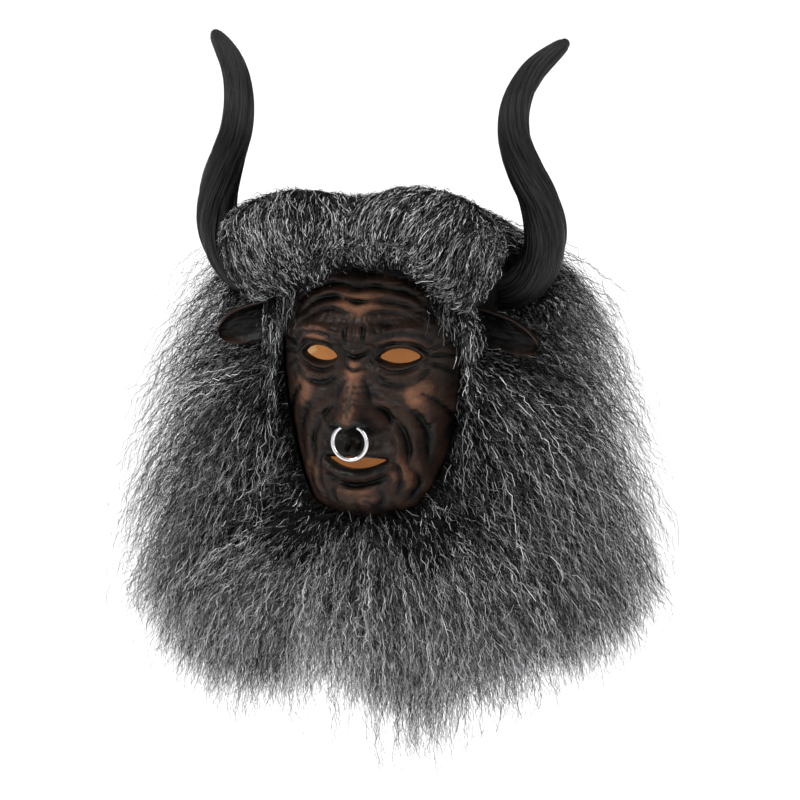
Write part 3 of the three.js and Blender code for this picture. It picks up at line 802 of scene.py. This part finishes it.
def waves(rng, count, steps, length, size, low, high):
    """Smooth wandering that grows towards the tip."""
    s = np.linspace(0, 1, steps)[None, :, None]
    total = 0
    for _ in range(2):
        cycles = (length / rng.uniform(low, high, count))[:, None, None]
        phase = rng.uniform(0, 2 * np.pi, (count, 1, 3))
        lean = rng.normal(size=(count, 1, 3)) * size
        total = total + lean * (np.sin(2 * np.pi * cycles * s + phase) - np.sin(phase))
    return total * np.minimum(1, s * 1.6)


HORN_AXIS = {side: along(HORN_LINE * [side, 1, 1], 26)[0] for side in (1, -1)}


def clear_of_horns(points):
    """Pushes points out of the horns and out of the head."""
    shape = points.shape
    flat = points.reshape(-1, 3).copy()
    w, f, b = head_sizes(flat[:, 2])
    depth = np.where(flat[:, 1] < 0, f, b)
    around = np.hypot(flat[:, 0] / w, flat[:, 1] / depth)
    inner = (around < 1) & (flat[:, 2] > -262) & (flat[:, 2] < -20)
    flat[inner, :2] /= np.maximum(around[inner], 0.3)[:, None]
    for side, axis in HORN_AXIS.items():
        near = np.nonzero((flat[:, 0] * side > 60) & (flat[:, 1] < 40) & (flat[:, 2] > -95))[0]
        p = flat[near]
        best, centre, room = np.full(len(p), 1e9), np.zeros_like(p), np.zeros(len(p))
        for i, c in enumerate(axis[:20]):
            far = np.linalg.norm(p - c, axis=1)
            closer = far < best
            best, centre[closer], room[closer] = np.where(closer, far, best), c, horn_radius(i / 25) + 1.5
        flat[near] = p + unit(p - centre) * np.maximum(0, room - best)[:, None]
    return flat.reshape(shape)


def stays_clear(points, ear_from=0.24):
    """Which strands stay out of the ears and the horns, and out of the space in front of them."""
    free = np.ones(len(points), bool)
    for side in (1, -1):
        for i, (x, y, z) in enumerate(HORN_AXIS[side][:11]):
            if abs(x) > 102:
                beside = np.hypot(points[..., 0] - x, points[..., 2] - z) < horn_radius(i / 25) + 1
                free &= ~(beside & (points[..., 1] < y + 8)).any(1)
        root, tip, across, back = (v * [side, 1, 1] for v in (EAR_ROOT, EAR_TIP, EAR_ACROSS, EAR_BACK))
        local = points - root
        at = local @ (tip - root) / ((tip - root) @ (tip - root))
        v, h = local @ across, local @ back
        hit = (at > ear_from) & (at < 1.1) & (np.abs(v) < 19) & (h < 11) & (h > -34)
        free &= ~hit.any(1)
    return free


def over_face(points):
    """How far each strand reaches over the face opening, in millimetres."""
    x, y, z = points[..., 0], points[..., 1], points[..., 2]
    over = np.where((y < -25) & (z < -72) & (z > -226), window_half(z) + 1 - np.abs(x), 0)
    return np.maximum(over, 0).max(1)


def clear_of_face(points):
    """Shifts strands that just lap over the face sideways to its edge."""
    push = over_face(points)[:, None] * np.minimum(1, np.linspace(0, 4, points.shape[1]))
    points[..., 0] += np.where(points[..., 0].mean(1) < 0, -1, 1)[:, None] * push
    return points


def tones(rng, shares, clump_of, clumps, each, lighten=0.07, lock=0.1):
    """A tone for each stretch of each strand: the strand's own tone, painted glints where a crimped fibre
    would catch the light and darker stretches between them, painted shade towards the roots and painted light
    towards the tips.
    """
    count = len(clump_of)
    runs = np.repeat(rng.random((count, each // 2 + 1)), 2, axis=1)[:, :each]
    value = 0.42 * rng.random((count, 1)) + 0.58 * runs + lock * rng.normal(size=clumps)[clump_of][:, None]
    limits = np.quantile(value, np.cumsum(shares)[:-1])
    s = np.linspace(0, 1, each)
    # painted shade towards the roots and painted light towards the tips
    value = value + lighten * s**2 - 0.34 * (1 - s) ** 4
    return np.searchsorted(limits, value).astype(np.int32)


PIECE_QUADS = 98000  # the most quads in one fur piece


def ribbons(name, paths, outward, width, tone, rng, nodes, crimp=1.0):
    """Fur fibres as narrow ribbons along paths, split into pieces of a workable size."""
    count, steps, _ = paths.shape
    s = np.linspace(0, 1, steps)[None, :, None]
    zigzag = ((-1.0) ** np.arange(steps))[None, :, None] * rng.uniform(0.2, 1.3, (count, steps, 1))
    kink = zigzag * unit(rng.normal(size=(count, 1, 3))) * 0.75 + rng.normal(size=paths.shape) * 0.55
    paths = paths + kink * crimp * np.minimum(1, 0.25 + s * 4)
    paths = np.clip(paths, FUR_LIMITS[0], FUR_LIMITS[1])
    ahead = np.gradient(paths, axis=1)
    face = unit(outward) + rng.normal(size=(count, 1, 3)) * 0.75
    across = unit(np.cross(ahead, face))
    taper = (width[:, None, None] / 2) * (1 - 0.5 * s**3)
    corners = np.stack([paths - across * taper, paths + across * taper], 2)
    each = steps - 1
    batch = PIECE_QUADS // each
    for k, start in enumerate(range(0, count, batch)):
        part = corners[start:start + batch]
        base = (np.arange(len(part))[:, None] * steps + np.arange(each)[None]) * 2
        faces = joined(base, base + 1, base + 3, base + 2)
        made = mesh_object(f"{name}_{k + 1}", part, faces, FIBRES,
                           tone=tone[start:start + batch].ravel())
        piece(made, "mask", "fur", *nodes)


def plant(name, path, outward, widths, rng, shares, clumps, nodes, crimp, clump_of=None, **looks):
    """Draws the strands' clumps, unless they are given, then their tones and widths, and makes them."""
    if clump_of is None:
        clump_of = rng.integers(0, clumps, len(path))
    tone = tones(rng, shares, clump_of, clumps, path.shape[1] - 1, **looks)
    ribbons(name, path, outward, rng.uniform(*widths, len(path)), tone, rng, nodes, crimp)


def bezier(a, b, c, d, steps):
    t = np.linspace(0, 1, steps)[None, :, None]
    return cubic(*(p[:, None] for p in (a, b, c, d)), t)


def mane_roots(rng, n, angles, heights):
    """Root heights and angles on the backing, outside the face opening."""
    angle, z = np.zeros(0), np.zeros(0)
    while len(z) < n:
        a, h = np.radians(rng.uniform(*angles, 4 * n)), rng.uniform(*heights, 4 * n)
        x = head_ring(h, a)[:, 0]
        free = (x > window_half(h) + 1) | (np.cos(a) < 0)
        angle, z = np.append(angle, a[free]), np.append(z, h[free])
    return angle[:n] * rng.choice([-1, 1], n), z[:n]


def hems(rng, angle):
    """How low strands may hang: most end in a ragged hem, a few wisps go further."""
    hem = -352 - 62 * bump(angle - 0.4, 0.36) - 36 * bump(angle + 1.0, 0.5) + 14 * smooth(0.9, 1.3, angle)
    hem = hem + 20 * noise(angle * 8 + 50, 0 * angle + 3) + rng.uniform(-16, 22, len(angle))
    return np.where(rng.random(len(angle)) < 0.14, hem - rng.uniform(20, 70, len(angle)), hem)


def mane_strands(rng, count, clumps, steps, angles, heights, lengths, spread=7.0, lean=0.0, forward=0.0,
                 level=(0.55, 1.04), rise=0.15):
    """Long fur from the backing out to the outline and down. Returns paths, outward vectors and clumps."""
    def draw(n):
        angle, z = mane_roots(rng, n, angles, heights)
        longer = 0.72 + 0.42 * smooth(-40, -190, z)
        return dict(angle=angle, z=z, length=rng.uniform(*lengths, n) * longer,
                    out=level[1] - (level[1] - level[0]) * rng.random(n) ** 1.5,
                    turn=np.sign(angle) * np.radians(lean) + rng.normal(0, np.radians(spread), n),
                    lift=rng.uniform(0.2, 0.42, n), floor=hems(rng, angle))

    def walk(g):
        root = head_ring(g["z"], g["angle"])
        tip_angle = g["angle"] + g["turn"]
        tip_z = g["z"] - 0.8 * g["length"]
        for _ in range(3):
            tip = fur_ring(tip_z, tip_angle) * joined(g["out"], g["out"], 1)
            across = np.hypot(*(tip - root)[:, :2].T)
            drop = np.sqrt(np.maximum(g["length"] ** 2 - across**2, (0.45 * g["length"]) ** 2))
            tip_z = np.maximum(g["z"] - drop, g["floor"])
        tip[:, 2] = tip_z
        out = unit((tip - root) * [1, 1, 0.0])
        reach = np.linalg.norm(tip - root, axis=1)
        ahead = unit(tip - root) + out * 1.1 * g["lift"][:, None] + [0, 0, rise]
        b = root + ahead * (reach * g["lift"])[:, None]
        b = b - [0, forward, 0] * (np.cos(g["angle"]) > 0)[:, None]
        c = tip + (unit(root - tip) * 0.6 + [0, 0, 0.5] + out * 0.12) * (reach * 0.36)[:, None]
        return bezier(root, b, c, tip, steps)

    guides = draw(clumps)
    clump_of = rng.integers(0, clumps, count)
    own = {k: v[clump_of].copy() for k, v in guides.items()}
    own["angle"] += rng.normal(0, np.radians(3.4), count)
    own["z"] += rng.normal(0, 7, count)
    own["length"] *= rng.uniform(0.7, 1.06, count)
    own["out"] += rng.normal(0, 0.07, count)
    own["turn"] += rng.normal(0, 0.07, count)
    own["floor"] += rng.normal(0, 12, count)
    guide_path = walk(guides) + waves(rng, clumps, steps, guides["length"], 3.0, 60, 120)
    path = walk(own)
    s = np.linspace(0, 1, steps)[None, :, None]
    low = smooth(-280, -370, path[:, -1, 2])
    pull = rng.random(count) * (0.6 + 0.3 * low)
    path = path + (guide_path[clump_of] - path) * pull[:, None, None] * s**1.6
    size = np.where(rng.random(count) < 0.12, 2.4, 1.25)[:, None, None]
    path = path + waves(rng, count, steps, own["length"], 1, 24, 60) * size
    beside = over_face(path) < 3
    path, clump_of = clear_of_horns(clear_of_face(path[beside])), clump_of[beside]
    kept = stays_clear(path)
    path = path[kept]
    return path, path * [1, 1, 0.3] + [0, 0, 20], clump_of[kept]


# What share of the fur each fibre tone takes, darkest first.
MANE_SHARES = (0.33, 0.28, 0.22, 0.135, 0.035)
BEARD_SHARES = (0.19, 0.27, 0.28, 0.20, 0.06)
FRINGE_SHARES = (0.46, 0.31, 0.13, 0.07, 0.03)
FORELOCK_SHARES = (0.60, 0.18, 0.09, 0.085, 0.045)


def make_mane():
    rng = np.random.default_rng(21)
    sides = [*both("mane_fur_side"), *both("mane_fur_behind_ear"), *both("mane_fur_rear")]
    batches = [
        dict(count=3600, clumps=380, steps=46, angles=(48, 74), heights=(-236, -44), lengths=(130, 235),
             spread=13, lean=-6, forward=16, level=(0.62, 1.0)),
        dict(count=4200, clumps=520, steps=24, angles=(44, 68), heights=(-240, -84), lengths=(60, 150),
             spread=9, lean=14, forward=5, level=(0.5, 0.8)),
        dict(count=8200, clumps=560, steps=48, angles=(60, 104), heights=(-262, -22), lengths=(195, 275),
             spread=11, lean=-8, forward=10),
        dict(count=8600, clumps=560, steps=40, angles=(96, 180), heights=(-262, -14), lengths=(195, 280)),
        dict(count=1800, clumps=180, steps=38, angles=(66, 180), heights=(-52, -14), lengths=(140, 215),
             level=(0.8, 1.05), rise=0.75),
        dict(count=3400, clumps=900, steps=16, angles=(52, 120), heights=(-262, -30), lengths=(35, 75),
             spread=6, level=(0.45, 0.62)),
        dict(count=3600, clumps=1200, steps=10, angles=(56, 122), heights=(-120, -18), lengths=(14, 30),
             spread=10, level=(0.5, 0.62)),
    ]
    jobs = [(f"mane_{k + 1}", MANE_SHARES, sides, batch) for k, batch in enumerate(batches)]
    beard = dict(count=6800, clumps=420, steps=44, angles=(0, 64), heights=(-264, -205), lengths=(130, 265),
                 spread=11, forward=8, level=(0.5, 1.0))
    jobs.append(("beard", BEARD_SHARES, both("beard_fur"), beard))
    for name, shares, nodes, batch in jobs:
        path, outward, clump_of = mane_strands(rng, **batch)
        plant(name, path, outward, (0.36, 0.6), rng, shares, batch["clumps"], nodes, 1.2, clump_of)


def make_fringe():
    """Short fibres along the face opening, chin included, that fall away from its edge."""
    rng = np.random.default_rng(52)
    count, clumps, steps = 4400, 300, 14
    side = rng.choice([-1, 1], count)
    at = rng.uniform(0, 52, count)
    edge = window_point(at)
    ahead = window_point(at + 0.5) - edge
    away = unit(joined(ahead[:, 1], -ahead[:, 0]))
    edge = edge + away * rng.uniform(0.5, 11, count)[:, None]
    x, z = edge.T
    w, f, _ = head_sizes(z)
    y = -f * np.sqrt(np.clip(1 - (x / w) ** 2, 0, 1)) - 1
    length = rng.uniform(16, 46, count)
    root = joined(x, y, z)
    out = rng.uniform(2, 18, count) * np.maximum(away[:, 0], 0.1)
    tip = root + joined(out, rng.uniform(-12, 2, count), -length)
    b = root + joined(0.3 * out, -rng.uniform(3, 10, count), -0.15 * length)
    c = tip + joined(-0.2 * out, -rng.uniform(1, 5, count), 0.4 * length)
    path = bezier(root, b, c, tip, steps) + waves(rng, count, steps, length, 1.2, 12, 30)
    path = path * joined(side, 1, 1)[:, None]
    path = path[stays_clear(path)]
    plant("fringe", path, path * [1, 1, 0] + [0, -40, 10], (0.38, 0.6), rng, FRINGE_SHARES, clumps,
          both("mane_fur_side"), 0.8)


def forelock_place(way, size, side):
    """Points of a lobe from directions and sizes: it arches over the brow and droops at the temple."""
    points = way * size * FORELOCK["radii"] + FORELOCK["centre"]
    lower = smooth(0.25, -0.45, way[..., 2]) * smooth(0.3, -0.3, way[..., 1])
    x = points[..., 0]
    arch = 19 * smooth(90, 32, x) + 8 * bump(x - 40, 18) if side > 0 else 14 * smooth(56, 2, x)
    points[..., 2] += lower * (arch - 17 * bump(x - 92, 19))
    points[..., 1] += lower * 12 * bump(x - 92, 20)
    return points


def make_forelock():
    rng = np.random.default_rng(33)
    for side, name in SIDES:
        count, clumps, steps = 5200, 420, 28
        taller = 1.07 if side > 0 else 0.97

        def draw(n):
            tilt = rng.uniform(-1, 1, n)
            start = joined(0.25 + 0.8 * tilt, 0.5, 0.8 - 0.25 * np.abs(tilt))
            end = joined(-0.1 + 0.95 * tilt, -0.72 + 0.3 * np.abs(tilt), -0.62 - 0.2 * tilt)
            outer = rng.random(n) < 0.26
            start[outer] = [0.85, 0.45, 0.6] + rng.normal(0, 0.25, (outer.sum(), 3))
            end[outer] = [1.0, -0.1, -0.35] + rng.normal(0, 0.28, (outer.sum(), 3))
            start = start + rng.normal(0, 0.1, (n, 3))
            end = end + rng.normal(0, 0.1, (n, 3))
            return start, end, rng.uniform(0, 0.52, n)

        def walk(start, end, begin, span):
            s = begin[:, None] + span[:, None] * np.linspace(0, 1, steps)[None]
            via = unit(unit(start) + unit(end) + np.array([0, -0.9, 0.35]))
            a, b, c = unit(start)[:, None], via[:, None], unit(end)[:, None]
            t = s[..., None]
            way = unit(a * (1 - t) ** 2 + 2 * b * t * (1 - t) + c * t**2)
            local = np.linspace(0, 1, steps)[None, :, None]
            height = 0.86 + 0.16 * local ** 0.8
            return forelock_place(way, height * [1, 1, taller], side), way

        guides = draw(clumps)
        clump_of = rng.integers(0, clumps, count)
        guide_span = rng.uniform(0.42, 0.66, clumps)
        guide, _ = walk(*guides, guide_span)
        own = [guides[0][clump_of] + rng.normal(0, 0.08, (count, 3)),
               guides[1][clump_of] + rng.normal(0, 0.08, (count, 3)),
               guides[2][clump_of] + rng.normal(0, 0.05, count)]
        path, way = walk(*own, guide_span[clump_of] * rng.uniform(0.8, 1.15, count))
        s = np.linspace(0, 1, steps)[None, :, None]
        path = path + (guide[clump_of] - path) * (rng.random(count) * 0.45)[:, None, None] * s**1.5
        path = path + waves(rng, count, steps, np.full(count, 75.0), 0.8, 18, 40)
        path = path * [side, 1, 1]
        plant("forelock_" + name, clear_of_horns(path), way * [side, 1, 1], (0.38, 0.58), rng,
              FORELOCK_SHARES, clumps, ["forelock_fur_" + name], 0.62, clump_of, lighten=0.05, lock=0.16)
        make_temple_lock(rng, side, name)


def make_temple_lock(rng, side, name):
    """The fur that falls from the forelock's outer end past the face's edge to the ear."""
    count, clumps, steps = 2600, 200, 20
    clump_of = rng.integers(0, clumps, count)
    way = np.clip(rng.random(clumps)[clump_of] + rng.normal(0, 0.08, count), 0, 1.1)
    depth = rng.random(count)
    root = joined(76 + 32 * way, -78 + 46 * depth, -34 - 26 * rng.random(count))
    length = rng.uniform(26, 64, count) * (1 - 0.35 * way)
    tip_x = 80 + 24 * way + 5 * rng.normal(size=count)
    tip_y = -40 - 14 * depth + 5 * rng.normal(size=count)
    tip = joined(tip_x, tip_y, root[:, 2] - length)
    b = root + joined(1, -5 + 2 * depth, -0.3 * length)
    c = tip + joined(2 + 5 * way, -9 + 4 * depth, 0.4 * length)
    path = bezier(root, b, c, tip, steps) + waves(rng, count, steps, length, 0.9, 16, 40)
    path = clear_of_horns(path * [side, 1, 1])
    kept = stays_clear(path, 0.42)
    path, clump_of = path[kept], clump_of[kept]
    plant("temple_lock_" + name, path, path * [1, 1, 0] + [0, -30, 20], (0.4, 0.62), rng, FORELOCK_SHARES,
          clumps, ["forelock_fur_" + name], 0.75, clump_of, lighten=0.05, lock=0.14)


def make_collar():
    """Short fur that closes in on the foot of each horn."""
    rng = np.random.default_rng(61)
    for side, name in SIDES:
        count, clumps, steps = 1500, 150, 14
        axis = HORN_AXIS[side]
        at = rng.uniform(2.0, 6.5, count)
        low = at.astype(int)
        centre = axis[low] + (axis[low + 1] - axis[low]) * (at - low)[:, None]
        ahead = unit(axis[low + 1] - axis[low])
        turn = rng.uniform(0, 2 * np.pi, count)
        first = unit(np.cross(ahead, [0.0, 1.0, 0.0]))
        radial = first * np.cos(turn)[:, None] + np.cross(ahead, first) * np.sin(turn)[:, None]
        root = centre + radial * (horn_radius(at / 25) + 2)[:, None]
        length = rng.uniform(14, 32, count)[:, None]
        tip = root + radial * length * 0.45 + ahead * length * 0.25 + [0, 0.15, -0.55] * length
        b, c = root + radial * length * 0.4, tip + [0, 0, 0.35] * length
        path = bezier(root, b, c, tip, steps) + waves(rng, count, steps, length[:, 0], 0.8, 12, 26)
        path = clear_of_horns(path)
        path = path[stays_clear(path, 0.3)]
        plant("crown_collar_" + name, path, path + [0, 0, 90], (0.4, 0.62), rng, FORELOCK_SHARES, clumps,
              ["crown_fur"], 0.7)


def make_crown():
    rng = np.random.default_rng(44)
    count, clumps, steps = 7500, 700, 14
    around, radius = rng.uniform(-np.pi, np.pi, count), np.sqrt(rng.random(count))
    x0, y0 = 130 * radius * np.sin(around), 32 - 94 * radius * np.cos(around)
    length = rng.uniform(28, 50, count)
    s = np.linspace(0, 1, steps)[None]
    away = unit(joined(x0 * 0.9, y0 * 0.5 + 70))
    x = x0[:, None] + away[:, :1] * length[:, None] * s
    y = y0[:, None] + away[:, 1:] * length[:, None] * s
    z = dome_height(x, y) - 6 + 6 * s**0.7 * rng.uniform(0.4, 1.05, count)[:, None]
    path = joined(x, y, z) + waves(rng, count, steps, length, 0.8, 14, 30)
    kept = np.abs(np.diff(z, axis=1)).max(1) < 14
    plant("crown", clear_of_horns(path[kept]), joined(x[kept], y[kept] - 20, 90), (0.42, 0.7), rng,
          FORELOCK_SHARES, clumps, ["crown_fur"], 0.55, lighten=0.0)


def dome_height(x, y):
    """Height of the crown fur's outline over a point, from its outline ring by ring."""
    best = np.full(x.shape, FUR[8, 0])
    for low, high in zip(FUR[1:9], FUR[:8]):
        for t in np.linspace(0, 1, 9):
            z, w, f, b = high + (low - high) * t
            depth = np.where(y < 0, f, b)
            best = np.maximum(best, np.where((x / w) ** 2 + (y / depth) ** 2 <= 1, z, FUR[8, 0]))
    return best


def make_underfur():
    """The dense fibre below the surface that closes the gaps between the modelled strands."""
    z = np.concatenate([np.linspace(-6, -205, 90), np.linspace(-207, -318, 56)])
    z, angle = grid(z, np.radians(np.linspace(-180, 180, 281)))
    side = np.abs(head_ring(z, angle)[..., 0])
    beside = np.where(np.cos(angle) > 0, smooth(-2, 26, side - window_half(z)), 1)
    turned = np.degrees(np.abs(angle))
    near_ear = bump(z + 86, 30) * smooth(118, 92, turned)
    near_horn = smooth(-78, -52, z) * smooth(125, 100, turned)
    share = 0.54 * beside * smooth(-2, -50, z) ** 0.5 * smooth(-320, -262, z) ** 0.8
    share = share * (1 - 0.85 * np.maximum(near_ear, 0.4 * near_horn))
    rough = 1 + 0.10 * noise(angle * 9 + 50, z / 14) + 0.07 * noise(angle * 30 + 50, z / 9)
    height = z + 6 * noise(angle * 20 + 30, z / 30)
    inner, outer = head_ring(height, angle), fur_ring(height, angle)
    points = inner + (outer - inner) * (share * rough)[..., None]
    quads = grid_faces(*z.shape)
    thin = ((np.cos(angle) > 0) & (side < window_half(z) - 1)).ravel()
    made = mesh_object("mane_underfur", points, quads[~thin[quads].any(-1)], [UNDER])
    piece(made, "mask", "fur", *both("mane_fur_side"), *both("mane_fur_behind_ear"), *both("mane_fur_rear"),
          *both("beard_fur"))
    x, y = grid(np.linspace(-150, 150, 150), np.linspace(-66, 136, 100))
    height = dome_height(x, y)
    points = joined(x, y, height - 7 + 1.5 * noise(x / 5, y / 5))
    quads = grid_faces(*x.shape)
    gone = (height < -36).ravel()
    made = mesh_object("crown_underfur", points, quads[~gone[quads].any(-1)][:, ::-1], [UNDER])
    piece(made, "mask", "fur", "crown_fur")
    for side, name in SIDES:
        lat, lon = grid(np.linspace(0.001, np.pi - 0.001, 80), np.linspace(0, 2 * np.pi, 140, endpoint=False))
        way = joined(np.sin(lat) * np.cos(lon), np.sin(lat) * np.sin(lon), np.cos(lat))
        size = 0.86 + 0.035 * noise(lon * 8, lat * 12) + 0.02 * noise(lon * 22, lat * 30)
        points = forelock_place(way, size[..., None], side) * [side, 1, 1]
        faces = grid_faces(*lat.shape, wrap=True)
        made = mesh_object("forelock_underfur_" + name, points, faces, [UNDER])
        piece(made, "mask", "fur", "forelock_fur_" + name)


make_face()
make_lining()
make_backing()
make_binding()
for pad in ("crown_pad", "forehead_pad", "nape_pad", *both("temple_pad")):
    make_pad(pad)
for side, name in SIDES:
    make_horn(side, name)
    make_ear(side, name)
    for node, material in (("horn_core_" + name, FOAM), ("horn_flange_" + name, FLANGE)):
        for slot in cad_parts[node].material_slots:
            slot.material = material
make_ring()
make_underfur()
make_mane()
make_fringe()
make_forelock()
make_crown()
make_collar()


# ---------- camera, light and floor ----------
def make_camera(azimuth=15, elevation=10, distance=4.0, pixels_per_mm=1.205, right_mm=10, z_mm=-149):
    a, e = math.radians(azimuth), math.radians(elevation)
    ahead = Vector((-math.sin(a) * math.cos(e), math.cos(a) * math.cos(e), -math.sin(e)))
    target = Vector((math.cos(a), math.sin(a), 0)) * right_mm * MM + Vector((0, 0, z_mm * MM))
    data = bpy.data.cameras.new("camera")
    data.lens = SENSOR_MM * distance / (PICTURE_PIXELS / pixels_per_mm * MM)
    camera = add_object("camera", data)
    camera.location = target - ahead * distance
    camera.rotation_euler = ahead.to_track_quat("-Z", "Y").to_euler()
    bpy.context.scene.camera = camera


def lamp(name, kind, energy, location=(0, 0, 0), **settings):
    data = bpy.data.lights.new(name, kind)
    data.energy = energy
    for key, value in settings.items():
        setattr(data, key, value)
    made = add_object(name, data)
    made.location = location
    return made


def softbox(name, energy, location, size):
    """A square area lamp that faces the mask."""
    made = lamp(name, "AREA", energy, location, size=size)
    made.rotation_euler = (Vector(MASK_MIDDLE) - made.location).to_track_quat("-Z", "Y").to_euler()


def make_world():
    """White surroundings, brighter near the horizon so that the floor runs into them."""
    world = bpy.data.worlds.new("studio")
    world.use_nodes = True
    tree = world.node_tree
    background = tree.nodes["Background"]
    background.inputs["Color"].default_value = (1, 1, 1, 1)
    direction = tree.nodes.new("ShaderNodeTexCoord")
    parts = tree.nodes.new("ShaderNodeSeparateXYZ")
    band = tree.nodes.new("ShaderNodeMapRange")
    for socket, value in (("From Min", 0.06), ("From Max", 0.2), ("To Min", 1.0), ("To Max", 0.42)):
        band.inputs[socket].default_value = value
    tree.links.new(direction.outputs["Generated"], parts.inputs[0])
    tree.links.new(parts.outputs["Z"], band.inputs["Value"])
    tree.links.new(band.outputs["Result"], background.inputs["Strength"])
    bpy.context.scene.world = world


def make_floor():
    """A pale floor under the mask, wide enough to meet the white surroundings."""
    s = Shader("pale_floor", (0.9, 0.9, 0.9), 0.8)
    s.link("Base Color", s.ramp(s.noise(3, 2), (0.0, (0.93, 0.93, 0.93)), (1.0, (0.95, 0.95, 0.95))))
    corners = ((-1, -1), (1, -1), (1, 1), (-1, 1))
    points = [[x * FLOOR_HALF, y * FLOOR_HALF, FLOOR_Z] for x, y in corners]
    floor = mesh_object("floor", points, [[0, 1, 2, 3]], [s.material])


make_floor()
make_camera()
softbox("key", 66, (-1.3, -1.8, 1.5), 0.9)
softbox("fill", 34, (1.9, -1.5, 0.7), 1.2)
lamp("overhead", "SUN", 2.7, angle=math.radians(60))
lamp("inside", "POINT", 0.22, (0, -0.01, -0.12), shadow_soft_size=0.03).visible_glossy = False
make_world()
bpy.context.scene.view_settings.view_transform = "Standard"
